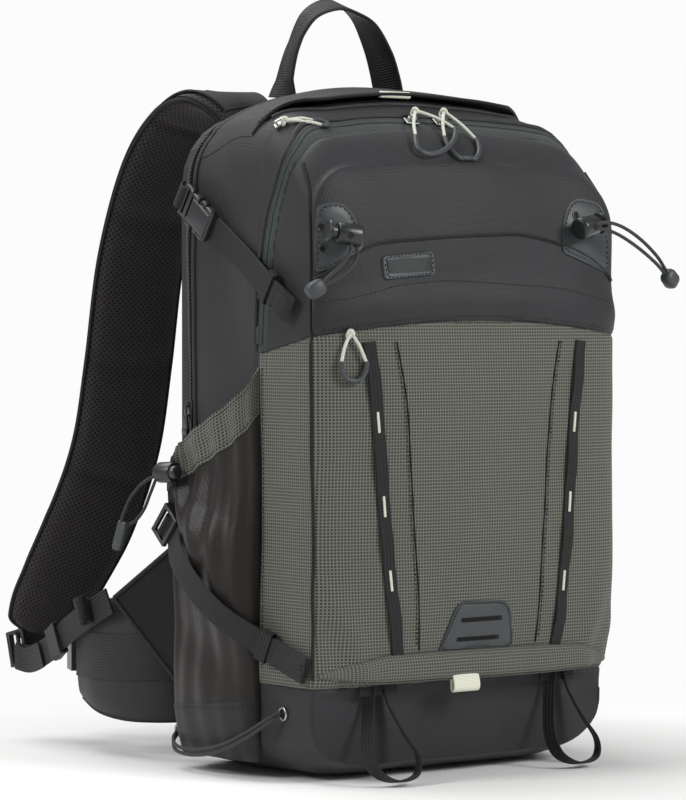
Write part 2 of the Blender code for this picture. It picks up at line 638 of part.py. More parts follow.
# ---------------------------------------------------------------- shoulder straps
STRAP = ((-0.0560, 0.0770, 0.4640), (-0.0600, 0.0890, 0.4930), (-0.0660, 0.1120, 0.5030),
         (-0.0730, 0.1400, 0.4900), (-0.0800, 0.1680, 0.4520), (-0.0830, 0.1950, 0.3830),
         (-0.0830, 0.2130, 0.3000), (-0.0860, 0.2260, 0.2350), (-0.0960, 0.2430, 0.1800),
         (-0.1120, 0.2620, 0.1300), (-0.1200, 0.2720, 0.1080))
STRAP_PAD_WIDTH = 0.070
STRAP_PAD_THICK = 0.010
STRAP_LOW = (-0.1600, 0.1210, 0.1230)
LOWER_WEB = ((-0.1440, 0.2760, 0.0640), (-0.1440, 0.2600, 0.0660), (-0.1510, 0.2250, 0.0760),
             (-0.1590, 0.1800, 0.0970), (-0.1615, 0.1250, 0.1210))
WING = ((-0.0900, 0.0760, 0.079), (-0.1130, 0.0830, 0.079), (-0.1340, 0.0980, 0.078),
        (-0.1460, 0.1240, 0.076), (-0.1490, 0.1550, 0.075), (-0.1430, 0.1860, 0.075))
WING_HEIGHT = 0.100
WING_THICK = 0.010
HIP_HINGE = (-0.1040, 0.0790, 0.079)
for label, side in SIDES:
    path = smooth_path([mirrored(p, side) for p in STRAP], 2)
    count = len(path)
    across = [Vector((1, 0, 0)).lerp(Vector((0.9, side * 0.45, 0)), k / count) for k in range(count)]
    widths = [1.0 - 0.22 * max(0.0, (k / count - 0.75) / 0.25) - 0.50 * max(0.0, 1 - k / 4)
              for k in range(count)]
    anchor = mirrored(STRAP[0], side)
    add_object(f"shoulder_strap_{label}",
               sweep(path, across, padded_profile(STRAP_PAD_WIDTH, STRAP_PAD_THICK), widths),
               "mesh", anchor)
    web = smooth_path([mirrored(p, side) for p in LOWER_WEB], 2)
    add_object(f"strap_webbing_{label}", sweep(web, Z, flat_profile(0.020, 0.0020)), "webbing", anchor)
    lock = facing(mirrored((-0.1420, 0.2830, 0.0700), side), Vector((0, -0.25, -1)),
                  Vector((0.25 * side, 0.97, -0.2)))
    add_object(f"strap_ladder_{label}",
               grid_plate([-0.0145, -0.0110, 0.0110, 0.0145],
                          [-0.0100, -0.0070, -0.0015, 0.0015, 0.0070, 0.0100],
                          {(1, 1), (1, 3)}, 0.0040, lock), "acetal", anchor, smooth=False)
    # Triangle of fabric that takes the lower webbing, sewn to the edge of the back panel.
    tip = mirrored(STRAP_LOW, side)
    fan = [Vector((side * 0.1380, 0.0660, 0.168)), Vector((side * 0.1380, 0.0660, 0.060)), tip]
    add_object(f"strap_wing_{label}",
               loft([[p + Vector((side * d, 0, 0)) for p in fan] for d in (0.0, 0.0020)]),
               "nylon", HINGE, smooth=False)

    wing_path = smooth_path([mirrored(p, side) for p in WING], 2)
    taper = [1.0 - 0.30 * (k / (len(wing_path) - 1)) ** 3 for k in range(len(wing_path))]
    wing_start = [k for k, p in enumerate(wing_path) if abs(p.x) > 0.1030][0]
    add_object(f"hip_wing_{label}",
               sweep(wing_path[wing_start:], Z, padded_profile(WING_HEIGHT, WING_THICK),
                     taper[wing_start:]), "nylon", mirrored(HIP_HINGE, side))

# Hip belt buckle: socket on the left wing's webbing, prong on the right's.
for name, side, length in (("hip_buckle_socket", -1, 0.030), ("hip_buckle_prong", 1, 0.034)):
    base = mirrored((-0.1415, 0.1905, 0.075), side)
    ahead = Vector((-side * 0.45, 1.0, 0.0)).normalized()
    frame = facing(base, Z, ahead)
    rows = [(0.0, 0.012, 0.0012), (0.030, 0.012, 0.0012), (0.0302, 0.017, 0.0045),
            (0.030 + length * 0.7, 0.017, 0.0045), (0.030 + length, 0.011, 0.0030)]
    add_object(name, loft([[frame @ Vector((u * w, v * t, h)) for u, v in
                            ((-1, -1), (1, -1), (1, 1), (-1, 1))] for h, w, t in rows]),
               "acetal", mirrored(HIP_HINGE, side), smooth=False)
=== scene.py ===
"""Ski backpack of about 26 litres, dressed in its fabrics, zips, webbing and cords.

Metres. The front faces -Y and the wearer's left is -X. Each section below is one piece or
one group of like pieces, in the order that the pack is sewn together.
"""

import json
import math

import bmesh
import bpy
import numpy as np
from mathutils import Matrix, Vector, noise
from mathutils.bvhtree import BVHTree

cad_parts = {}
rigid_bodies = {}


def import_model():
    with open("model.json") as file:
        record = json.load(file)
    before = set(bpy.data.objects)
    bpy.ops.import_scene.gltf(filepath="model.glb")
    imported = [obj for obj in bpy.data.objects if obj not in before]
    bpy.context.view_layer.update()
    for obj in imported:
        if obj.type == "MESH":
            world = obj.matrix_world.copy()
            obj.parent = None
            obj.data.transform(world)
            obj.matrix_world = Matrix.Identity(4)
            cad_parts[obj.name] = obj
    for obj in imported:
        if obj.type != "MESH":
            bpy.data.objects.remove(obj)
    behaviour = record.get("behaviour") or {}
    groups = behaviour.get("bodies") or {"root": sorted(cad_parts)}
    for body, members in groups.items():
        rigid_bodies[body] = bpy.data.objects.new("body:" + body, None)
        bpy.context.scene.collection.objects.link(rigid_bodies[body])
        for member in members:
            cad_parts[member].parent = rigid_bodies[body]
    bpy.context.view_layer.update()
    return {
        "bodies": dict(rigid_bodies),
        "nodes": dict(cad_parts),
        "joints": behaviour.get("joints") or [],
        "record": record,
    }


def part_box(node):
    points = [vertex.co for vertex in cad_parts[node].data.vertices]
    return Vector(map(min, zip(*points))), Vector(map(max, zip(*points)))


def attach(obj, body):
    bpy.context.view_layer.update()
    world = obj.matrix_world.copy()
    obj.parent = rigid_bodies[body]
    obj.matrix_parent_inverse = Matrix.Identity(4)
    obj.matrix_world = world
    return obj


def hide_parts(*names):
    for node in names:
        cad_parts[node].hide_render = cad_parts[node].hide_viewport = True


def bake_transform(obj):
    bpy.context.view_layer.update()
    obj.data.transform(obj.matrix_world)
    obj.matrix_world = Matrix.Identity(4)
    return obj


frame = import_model()
SIDES = (("left", -1), ("right", 1))    # the wearer's left is -X
UP = Vector((0, 0, 1))

# ---------------------------------------------------------------- studio
# A pale floor under a broad soft sky, with one large soft lamp high on the left and a weaker
# one on the right, as for a catalogue picture.


def linear(code):
    """An sRGB hex colour such as "3c3e37" as linear red, green, blue and alpha."""
    parts = [int(code[i:i + 2], 16) / 255 for i in (0, 2, 4)]
    return (*[c / 12.92 if c <= 0.04045 else ((c + 0.055) / 1.055) ** 2.4 for c in parts], 1.0)


def add(material, kind, inputs=None, **settings):
    """Add a node with its settings; an input is given a value or the socket that feeds it."""
    made = material.node_tree.nodes.new(kind)
    for key, value in settings.items():
        setattr(made, key, value)
    for key, value in (inputs or {}).items():
        if isinstance(value, bpy.types.NodeSocket):
            material.node_tree.links.new(value, made.inputs[key])
        else:
            made.inputs[key].default_value = value
    return made


def new_material(name, colour, roughness, **constants):
    """A material whose shader holds these constants; returns it with its shader."""
    material = bpy.data.materials.new(name)
    material.use_nodes = True
    shader = material.node_tree.nodes["Principled BSDF"]
    shader.inputs["Base Color"].default_value = linear(colour)
    shader.inputs["Roughness"].default_value = roughness
    for key, value in constants.items():
        shader.inputs[key.replace("_", " ")].default_value = value
    return material, shader


def feed(material, shader, **sockets):
    """Link sockets to the shader's inputs of those names."""
    for key, socket in sockets.items():
        material.node_tree.links.new(socket, shader.inputs[key.replace("_", " ")])


def tinted(material, factor, dark, light):
    """A colour between two, each a hex colour or a socket, mixed by a factor's socket."""
    ends = [c if isinstance(c, bpy.types.NodeSocket) else linear(c) for c in (dark, light)]
    return add(material, "ShaderNodeMix", {"Factor": factor, "A": ends[0], "B": ends[1]},
               data_type="RGBA").outputs["Result"]


def raised(material, height, distance, strength):
    """The normal of a relief whose height a socket gives."""
    return add(material, "ShaderNodeBump", {"Height": height, "Distance": distance,
                                            "Strength": strength}).outputs[0]


def speckle(material, scale, detail, vector=None):
    inputs = {"Scale": scale, "Detail": detail, **({"Vector": vector} if vector else {})}
    return add(material, "ShaderNodeTexNoise", inputs).outputs["Fac"]


PER_WAVE = math.pi / 10              # a wave texture repeats every PER_WAVE / scale metres


def waves(material, vector, pitch, way="X"):
    """Soft bands, one every `pitch` metres."""
    return add(material, "ShaderNodeTexWave", {"Vector": vector, "Scale": PER_WAVE / pitch},
               bands_direction=way).outputs["Fac"]


def combined(material, a, b, operation):
    return add(material, "ShaderNodeMath", {0: a, 1: b}, operation=operation).outputs[0]


def place_on(material, kind="UV"):
    return add(material, "ShaderNodeTexCoord").outputs[kind]


def slanted(material, degrees):
    """The UV map turned by an angle."""
    return add(material, "ShaderNodeMapping", {"Vector": place_on(material), "Rotation": (
        0, 0, math.radians(degrees))}).outputs[0]


def moulded(name, colour, roughness, grain, depth, strength, patches=None, **constants):
    """A moulded or cast surface with a fine grain; patches is the scale, detail and two colours
    of its slow change of shade."""
    material, shader = new_material(name, colour, roughness, **constants)
    feed(material, shader, Normal=raised(material, speckle(material, grain, 2.0), depth, strength))
    if patches:
        scale, detail, dark, light = patches
        feed(material, shader,
             Base_Color=tinted(material, speckle(material, scale, detail), dark, light))
    return material


def ribbed(name, colour, roughness, sheen, vector_of, pitch, way, dark, light, depth, strength):
    """A thread or cord with even ribs; vector_of gives the coordinates from the material."""
    material, shader = new_material(name, colour, roughness, Sheen_Weight=sheen)
    bands = waves(material, vector_of(material), pitch, way)
    feed(material, shader, Base_Color=tinted(material, bands, dark, light),
         Normal=raised(material, bands, depth, strength))
    return material


world = bpy.data.worlds.new("studio_sky")
bpy.context.scene.world = world
world.use_nodes = True
sky = world.node_tree.nodes["Background"]
sky.inputs["Color"].default_value = (1.0, 1.0, 1.0, 1.0)
rays = world.node_tree.nodes.new("ShaderNodeLightPath")
strength = world.node_tree.nodes.new("ShaderNodeMapRange")
strength.inputs["To Min"].default_value = 0.25      # what lights the pack
strength.inputs["To Max"].default_value = 0.97      # what the camera sees behind it
world.node_tree.links.new(rays.outputs["Is Camera Ray"], strength.inputs["Value"])
world.node_tree.links.new(strength.outputs["Result"], sky.inputs["Strength"])
bpy.context.scene.view_settings.view_transform = "Standard"

bpy.ops.mesh.primitive_circle_add(vertices=96, radius=14.0, fill_type="NGON")
floor = bpy.context.object
floor.name = "floor"
floor_paint, floor_shader = new_material("matt_white_paint", "f4f4f3", 0.9)
coords = add(floor_paint, "ShaderNodeTexCoord")
away = add(floor_paint, "ShaderNodeVectorMath", {0: coords.outputs["Object"]}, operation="LENGTH")
fade = add(floor_paint, "ShaderNodeMapRange", {"Value": away.outputs["Value"], "From Min": 0.24,
                                               "From Max": 0.52}, interpolation_type="SMOOTHSTEP")
glow = add(floor_paint, "ShaderNodeEmission", {"Color": (1.0, 1.0, 1.0, 1.0), "Strength": 0.97})
blend = add(floor_paint, "ShaderNodeMixShader", {0: fade.outputs["Result"],
                                                 1: floor_shader.outputs[0],
                                                 2: glow.outputs[0]})
floor_paint.node_tree.links.new(
    blend.outputs[0], floor_paint.node_tree.nodes["Material Output"].inputs["Surface"])
floor.data.materials.append(floor_paint)

LAMPS = (("key_lamp", (1.3, -3.2, 2.3), 1.5, 105.0), ("fill_lamp", (-3.1, 0.8, 2.2), 1.2, 62.0),
         ("top_lamp", (-0.4, 1.3, 3.2), 2.2, 75.0))
for name, place, size, power in LAMPS:
    bpy.ops.object.light_add(type="AREA", location=place)
    lamp = bpy.context.object
    lamp.name = name
    lamp.data.size = size
    lamp.data.energy = power
    aim = Vector((0.0, 0.0, 0.28)) - Vector(place)
    lamp.rotation_euler = aim.to_track_quat("-Z", "Y").to_euler()

bpy.ops.object.camera_add(location=(-1.7115, -2.1488, 0.343),
                          rotation=(math.radians(88.568), 0.0, math.radians(-38.0)))
camera = bpy.context.object
camera.data.lens = 162
bpy.context.scene.camera = camera
bpy.ops.object.select_all(action="DESELECT")

# ---------------------------------------------------------------- front bungees
# Doubled elastic cord, braided over rubber, drawn through a barrel lock on each side of the
# front and closed by a moulded rubber end that the two strands are pressed into.
LIMB = 0.00135                      # radius of one strand
BUNGEE_LEFT = ((-0.1235, -0.1240, 0.3950), (-0.1215, -0.1265, 0.3880), (-0.1245, -0.1280, 0.3800),
               (-0.1320, -0.1275, 0.3725), (-0.1405, -0.1255, 0.3660), (-0.1465, -0.1240, 0.3620))
BUNGEE_RIGHT = ((0.1040, -0.1335, 0.4055), (0.1150, -0.1345, 0.4060), (0.1300, -0.1345, 0.4020),
                (0.1490, -0.1335, 0.3930), (0.1680, -0.1310, 0.3815), (0.1795, -0.1290, 0.3720))


def smooth_path(points, steps):
    """Points along a Catmull-Rom curve through the given points."""
    pts = [Vector(p) for p in points]
    pts = [2 * pts[0] - pts[1]] + pts + [2 * pts[-1] - pts[-2]]
    out = []
    for i in range(1, len(pts) - 2):
        a, b, c, d = pts[i - 1:i + 3]
        for s in range(steps):
            t = s / steps
            out.append(0.5 * (2 * b + (c - a) * t + (2 * a - 5 * b + 4 * c - d) * t * t
                              + (3 * b - a - 3 * c + d) * t ** 3))
    out.append(pts[-2])
    return out


def mirrored(points, side, steps):
    """A smooth path through points given for the wearer's left, on the side asked for."""
    return smooth_path([(-side * x, y, z) for x, y, z in points], steps)


def headings(path, closed=False):
    """Unit direction of travel at each point of a path."""
    count = len(path)
    if closed:
        return [(path[(i + 1) % count] - path[i - 1]).normalized() for i in range(count)]
    return [(path[min(i + 1, count - 1)] - path[max(i - 1, 0)]).normalized() for i in range(count)]


def round_shape(radius, sides):
    turn = 2 * math.pi / sides
    return [(radius * math.cos(turn * i), radius * math.sin(turn * i)) for i in range(sides)]


def lace(bm, rows, closed=True):
    """Faces between neighbouring rows of vertices, each row a ring or an open line."""
    count = len(rows[0])
    for row, following in zip(rows, rows[1:]):
        for j in range(count if closed else count - 1):
            k = (j + 1) % count
            bm.faces.new((row[j], row[k], following[k], following[j]))


def settled(piece, body, node):
    """Give a piece its body and the CAD solid that it stands for, where there is one."""
    if body:
        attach(piece, body)
    if node:
        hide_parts(node)
    return piece


def sweep(name, path, across, shape, material, body="bag", node=None, closed=False, wide=None,
          deep=None):
    """Draw a closed shape of (across, out) offsets along a path, with its UV map in metres.

    across is one width direction or one for each point; wide and deep scale the shape there. The
    piece rides on body, unless that is None, and stands for the CAD solid called node.
    """
    rings = []
    for i, (point, along) in enumerate(zip(path, headings(path, closed))):
        side = across[i] if isinstance(across, list) else across
        side = (side - along * side.dot(along)).normalized()
        out = along.cross(side)
        a, b = (wide[i] if wide else 1.0), (deep[i] if deep else 1.0)
        rings.append([point + side * (u * a) + out * (v * b) for u, v in shape])
    mesh = bpy.data.meshes.new(name)
    bm = bmesh.new()
    uv = bm.loops.layers.uv.new("cloth")
    rows = [[bm.verts.new(p) for p in ring] for ring in rings]
    girth = [0.0]
    for i in range(len(shape)):
        (u0, v0), (u1, v1) = shape[i], shape[(i + 1) % len(shape)]
        girth.append(girth[-1] + math.hypot(u1 - u0, v1 - v0))
    travel = [0.0]
    for i in range(len(path)):
        travel.append(travel[-1] + (path[(i + 1) % len(path)] - path[i]).length)
    count = len(shape)
    last = len(rows) if closed else len(rows) - 1
    for i in range(last):
        following = rows[(i + 1) % len(rows)]
        for j in range(count):
            k = (j + 1) % count
            face = bm.faces.new((rows[i][j], rows[i][k], following[k], following[j]))
            places = ((j, i), (j + 1, i), (j + 1, i + 1), (j, i + 1))
            for loop, (gu, tv) in zip(face.loops, places):
                loop[uv].uv = (girth[gu], travel[tv])
    if not closed:
        bm.faces.new(rows[0])
        bm.faces.new(rows[-1])
    bmesh.ops.recalc_face_normals(bm, faces=bm.faces)
    bm.to_mesh(mesh)
    bm.free()
    mesh.materials.append(material)
    mesh.shade_smooth()
    mesh.set_sharp_from_angle(angle=math.radians(50))
    made = bpy.data.objects.new(name, mesh)
    bpy.context.collection.objects.link(made)
    return settled(made, body, node)


# Braided polyester sheath: matt, with a crossing braid of about 1 mm, drawn at 1.4 mm so that
# it can be seen.
BRAID = 0.0014
elastic, shader = new_material("braided_elastic", "262728", 0.62, Sheen_Weight=0.12,
                               Specular_IOR_Level=0.3)
crossing = combined(elastic, *[waves(elastic, slanted(elastic, turn), BRAID)
                               for turn in (38, -38)], "MAXIMUM")
feed(elastic, shader, Base_Color=tinted(elastic, crossing, "0f1011", "3a3b3c"),
     Normal=raised(elastic, crossing, 0.0003, 0.8))

# Moulded rubber end: a faceted block with softened edges.
END_SHAPE = [(0.0, 0.0028), (0.0015, 0.0052), (0.0040, 0.0064), (0.0110, 0.0066), (0.0135, 0.0056),
             (0.0150, 0.0038)]
rubber = moulded("moulded_rubber", "34383a", 0.48, 1600.0, 0.00008, 0.5,
                 (60.0, 3.0, "2d3133", "3e4345"), Coat_Weight=0.12, Coat_Roughness=0.35)

for (label, side), route in zip(SIDES, (BUNGEE_LEFT, BUNGEE_RIGHT)):
    middle = smooth_path(route, 6)
    spread = Vector((0.8 if label == "left" else 0.15, 0.0, -0.35 if label == "left" else 0.9))
    strands = []
    for part, sign in (("a", 1), ("b", -1)):
        path = []
        for k, (point, along) in enumerate(zip(middle, headings(middle))):
            apart = spread - along * spread.dot(along)
            share = k / (len(middle) - 1)
            gap = LIMB * (1.15 + 1.5 * math.sin(math.pi * min(1.0, share * 1.05)))
            path.append(point + apart.normalized() * (sign * gap))
        strands.append((part, path))
    along = headings(middle)[-1]
    tip = middle[-1]
    end_path = [tip + along * d for d, _ in END_SHAPE]
    squarish = [(math.copysign(abs(math.cos(t)) ** 0.55, math.cos(t)),
                 math.copysign(abs(math.sin(t)) ** 0.55, math.sin(t)))
                for t in [2 * math.pi * (k + 0.5) / 16 for k in range(16)]]
    end = sweep(f"bungee_end_{label}", end_path, UP, squarish, rubber,
                wide=[r * 0.94 for _, r in END_SHAPE], deep=[r * 0.82 for _, r in END_SHAPE])
    for part, path in strands:
        path.append(path[-1] + along * 0.004)
        strand = sweep(f"bungee_{label}_{part}", path, Vector((0, 1, 0)), round_shape(LIMB, 12),
                       elastic, node=f"front_bungee_{label}" if part == "a" else None)

# ---------------------------------------------------------------- base bungees
# The same elastic, sagging in a doubled loop between two metal eyelets low on each side.
BASE_BUNGEE = ((-0.1440, -0.0690, 0.0500), (-0.1500, -0.0620, 0.0450), (-0.1560, -0.0430, 0.0330),
               (-0.1600, -0.0150, 0.0210), (-0.1610, 0.0150, 0.0155), (-0.1590, 0.0400, 0.0160),
               (-0.1520, 0.0540, 0.0210), (-0.1440, 0.0580, 0.0270))
for label, side in SIDES:
    for part, shift in (("a", 1), ("b", -1)):
        path = mirrored(BASE_BUNGEE, side, 5)
        count = len(path) - 1
        path = [p + Vector((0, 0, shift * (LIMB + 0.0007 * math.sin(math.pi * k / count))))
                for k, p in enumerate(path)]
        strand = sweep(f"base_bungee_{label}_{part}", path, UP, round_shape(LIMB, 12), elastic,
                       node=f"base_bungee_{label}" if part == "a" else None)

# ---------------------------------------------------------------- bag body
# The bag is sewn from padded fabric panels over two compartments. Its panels are cut here from
# one smooth skin, so that neighbours meet at their seams, and each is given its own cloth.
SECTION_Y = np.array([-0.100, -0.085, -0.066, -0.050, -0.030, 0.000, 0.030, 0.056])
SECTION_VALUES = np.array([          # half-width, top, bottom, crown slope, top corner radius
    (0.1390, 0.4530, 0.012, 6, 0.036), (0.1400, 0.4690, 0.006, 6, 0.035),
    (0.1400, 0.4820, 0.001, 6, 0.035), (0.1400, 0.4935, 0.000, 9, 0.038),
    (0.1400, 0.5035, 0.000, 14, 0.044), (0.1400, 0.5105, 0.000, 20, 0.050),
    (0.1390, 0.5115, 0.000, 24, 0.054), (0.1365, 0.5090, 0.000, 25, 0.055)])
BASE_FLAT_HALF = 0.085
BASE_CORNER = 0.030
FRONT_EDGE_Y = -0.100
FRONT_CENTRE_Z = 0.22
FRONT_BULGE = 0.025
BOTTOM_BULGE = 0.005
RING_STEPS = 58                     # rings from the back rim to the front edge
FACE_STEPS = 78                     # rings over the front face
POCKET_LOW_Z = 0.070                # front pocket meets the bottom panel, under the lip
POCKET_TOP_Z = 0.324                # top seam of the front pocket at its corners
POCKET_ARCH = 0.011                 # and how much higher it is at the middle
FRONT_HALF = 0.139
FLOOR_CLEAR_Z = 0.012
GUSSET_Y = -0.040
TAPE_HALF = 0.0062
ZIP_Z = [0.330, 0.350, 0.366, 0.381, 0.398, 0.414, 0.426, 0.438, 0.448, 0.458, 0.465, 0.472, 0.480]
ZIP_Y = [-0.0425, -0.0435, -0.0450, -0.0472, -0.0512, -0.0562, -0.0615, -0.0672, -0.0712, -0.0728,
         -0.0718, -0.0685, -0.0650]
REAR_TAPE_Y = 0.046


def section_at(y):
    """The five section values at a depth, on a smooth curve through the sections."""
    slopes = np.gradient(SECTION_VALUES, SECTION_Y, axis=0)
    i = int(np.clip(np.searchsorted(SECTION_Y, y) - 1, 0, len(SECTION_Y) - 2))
    span = SECTION_Y[i + 1] - SECTION_Y[i]
    t = (y - SECTION_Y[i]) / span
    share = 3 * t**2 - 2 * t**3
    return ((1 - share) * SECTION_VALUES[i] + share * SECTION_VALUES[i + 1]
            + (t**3 - 2 * t**2 + t) * span * slopes[i] + (t**3 - t**2) * span * slopes[i + 1])


def bag_outline(half, top, bottom, slope, radius):
    """Front-view outline: flat base, rolled lower edges, straight sides, round crowned top."""
    lean = math.radians(slope)
    crown_x = half - radius + radius * math.sin(lean)
    crown = crown_x * math.tan(lean) / 2
    corner_z = top - crown - radius * math.cos(lean)
    foot_z = bottom + BASE_CORNER
    loop = [(BASE_FLAT_HALF * k / 16, bottom) for k in range(17)]
    for k in range(1, 13):
        turn = math.radians(-90 + 90 * k / 12)
        loop.append((BASE_FLAT_HALF + (half - BASE_FLAT_HALF) * math.cos(turn),
                     bottom + BASE_CORNER * (1 + math.sin(turn))))
    loop += [(half, foot_z + (corner_z - foot_z) * k / 130) for k in range(1, 131)]
    for k in range(1, 21):
        turn = (math.pi / 2 - lean) * k / 20
        loop.append((half - radius + radius * math.cos(turn), corner_z + radius * math.sin(turn)))
    for k in range(1, 34):
        x = crown_x * (1 - k / 34)
        loop.append((x, top - crown * (x / crown_x) ** 2))
    return np.array(loop + [(0.0, top)] + [(-x, z) for x, z in reversed(loop[1:])])


def step_up(value, low, high):
    """0 below low, 1 above high, and a smooth step between them."""
    t = np.clip((value - low) / (high - low), 0.0, 1.0)
    return t * t * (3 - 2 * t)


rings = []
for y in np.linspace(SECTION_Y[-1], FRONT_EDGE_Y, RING_STEPS):
    flat = bag_outline(*section_at(y))
    rings.append(np.column_stack([flat[:, 0], np.full(len(flat), y), flat[:, 1]]))
edge = bag_outline(*section_at(FRONT_EDGE_Y))
for k in range(1, FACE_STEPS):
    share = 1 - (k / FACE_STEPS) ** 1.35
    z = FRONT_CENTRE_Z + (edge[:, 1] - FRONT_CENTRE_Z) * share
    bulge = BOTTOM_BULGE + (FRONT_BULGE - BOTTOM_BULGE) * step_up(z, 0.062, 0.078)
    y = FRONT_EDGE_Y - bulge * (1 - share**2.2) ** 0.6
    rings.append(np.column_stack([edge[:, 0] * share, y, z]))

skin = bmesh.new()
cloth_uv = skin.loops.layers.uv.new("cloth")
rows = [[skin.verts.new(p) for p in ring] for ring in rings]
count = len(rows[0])
lace(skin, rows)
centre = skin.verts.new((0.0, FRONT_EDGE_Y - FRONT_BULGE, FRONT_CENTRE_Z))
for j in range(count):
    skin.faces.new((rows[-1][j], rows[-1][(j + 1) % count], centre))
skin.faces.ensure_lookup_table()
skin.normal_update()
if skin.faces[count * 10 + 60].normal.x < 0:
    bmesh.ops.reverse_faces(skin, faces=skin.faces)
skin.normal_update()


# Seams, each as a signed distance from the seam's line.
def under_lip(p):
    return p.z - POCKET_LOW_Z


def pocket_top(p):
    """The top seam of the grey pocket: it arches across the front and falls along each side."""
    arch = POCKET_ARCH * (1 - min(1.0, (p.x / FRONT_HALF) ** 2))
    drop = 0.013 * min(1.0, max(0.0, (p.y - FRONT_EDGE_Y) / 0.060))
    return p.z - (POCKET_TOP_Z + arch - drop)


def zip_middle(z):
    """How far back the front zip runs: it comes forward round the two top corners."""
    return float(np.interp(z, ZIP_Z, ZIP_Y))


def zip_rear(p):
    return p.y - zip_middle(p.z) - TAPE_HALF


def zip_front(p):
    return p.y - zip_middle(p.z) + TAPE_HALF


def gusset_rear(p):
    return p.y - GUSSET_Y if pocket_top(p) < 0.004 else 1.0


def rear_tape(p):
    return p.y - REAR_TAPE_Y


SEAMS = (under_lip, pocket_top, zip_rear, zip_front, gusset_rear, rear_tape)


def cut_along(bm, distance):
    """Cut the mesh's edges and faces where a signed distance changes sign."""
    value = {v: distance(v.co) for v in bm.verts}
    for v, d in value.items():
        if abs(d) < 1e-5:
            value[v] = 0.0
    crossed = [e for e in bm.edges if value[e.verts[0]] * value[e.verts[1]] < 0]
    touched = set()
    for e in crossed:
        a, b = e.verts
        _, made = bmesh.utils.edge_split(e, a, value[a] / (value[a] - value[b]))
        value[made] = 0.0
        touched.update(made.link_faces)
    touched.update(f for v, d in value.items() if d == 0.0 for f in v.link_faces)
    for face in touched:
        on_line = [v for v in face.verts if value[v] == 0.0]
        if len(on_line) == 2 and not any(e.other_vert(on_line[0]) is on_line[1]
                                         for e in on_line[0].link_edges):
            bmesh.utils.face_split(face, on_line[0], on_line[1])


for seam in SEAMS:
    cut_along(skin, seam)
skin.normal_update()


def swell(p):
    """How far the cloth stands in or out of the smooth form, in metres."""
    slow = noise.noise(p * 9.0) * 0.0016 + noise.noise(p * 23.0 + Vector((5, 1, 2))) * 0.0008
    on_front = p.y < FRONT_EDGE_Y - 0.001
    low = under_lip(p)
    top = pocket_top(p)
    depth = 0.0
    if -0.004 < low < 0.004:
        depth += 0.0010 * math.exp(-(low / 0.0016) ** 2)
    if p.y < GUSSET_Y and abs(top) < 0.008:
        depth += 0.0012 * math.exp(-(top / 0.0018) ** 2)
    if top > -0.02 and p.y < 0.0:
        for distance in (zip_rear(p), zip_front(p)):
            depth += 0.0011 * math.exp(-(distance / 0.0014) ** 2)
    depth += 0.0012 * math.exp(-(rear_tape(p) / 0.0016) ** 2)
    if p.x > 0.07:
        # The load swells the front's right corner.
        height = step_up(p.z, 0.060, 0.110) * (1 - step_up(p.z, 0.400, 0.455))
        slow += 0.0085 * step_up(p.x, 0.070, FRONT_HALF) * height * math.exp(
            -((p.y - FRONT_EDGE_Y) / 0.035) ** 2)
    if on_front and low > 0 and top < 0:
        # Puckers that run up from the lip's two corners and down from the top seam.
        across = abs(p.x) - 0.105 - 0.35 * (p.z - 0.085)
        slow += 0.0022 * math.exp(-(across / 0.010) ** 2) * math.exp(-((p.z - 0.105) / 0.030) ** 2)
        slow -= 0.0020 * math.exp(-((across - 0.016) / 0.009) ** 2) * math.exp(
            -((p.z - 0.100) / 0.026) ** 2)
    if on_front and top > 0:
        # A soft roll of cloth above the pocket, and slack under the corners of the zip.
        slow += 0.0024 * math.exp(-((top - 0.016) / 0.012) ** 2)
        slow += 0.0012 * math.sin(p.x * 42 + p.z * 30) * math.exp(-((p.z - 0.43) / 0.03) ** 2)
    if not on_front and abs(p.x) > 0.12 and low > 0 and p.y > GUSSET_Y:
        slow += 0.0018 * math.sin((p.y - 0.3 * p.z) * 75) * (0.4 + 0.6 * math.exp(
            -((p.z - 0.40) / 0.07) ** 2))
    if low < 0:
        slow += 0.0016 * noise.noise(Vector((p.x * 30, p.y * 30, p.z * 12)))
    if p.z < FLOOR_CLEAR_Z:
        slow = min(0.0, slow)           # the base doesn't bulge below the floor
    return slow - depth


moved = [v.co + v.normal * swell(v.co) for v in skin.verts]
for v, place in zip(skin.verts, moved):
    v.co = place
for face in skin.faces:
    for loop in face.loops:
        p = loop.vert.co
        side = 1 if p.x > 0 else -1
        past = max(0.0, p.y - FRONT_EDGE_Y)
        loop[cloth_uv].uv = (p.x if past == 0 else side * (FRONT_HALF + past), p.z)
skin.normal_update()
SKIN = BVHTree.FromBMesh(skin)


def panel_of(name, node, material, keeps, thick=0.0012):
    """The faces of the skin whose middles `keeps` accepts, as a piece with a real thickness."""
    bm = skin.copy()
    gone = [f for f in bm.faces if not keeps(f.calc_center_median())]
    bmesh.ops.delete(bm, geom=gone, context="FACES")
    mesh = bpy.data.meshes.new(name)
    bm.to_mesh(mesh)
    bm.free()
    mesh.shade_smooth()
    mesh.materials.append(material)
    made = bpy.data.objects.new(name, mesh)
    bpy.context.collection.objects.link(made)
    wall = made.modifiers.new("wall", "SOLIDIFY")
    wall.thickness = thick
    wall.offset = -1.0
    bpy.context.view_layer.objects.active = made
    bpy.ops.object.modifier_apply(modifier=wall.name)
    return settled(made, "bag", node)


# Coated nylon oxford, charcoal: matt, with a faint sheen and a plain weave of about 0.5 mm,
# drawn at 1.1 mm so that it can be seen.
OXFORD = 0.0011


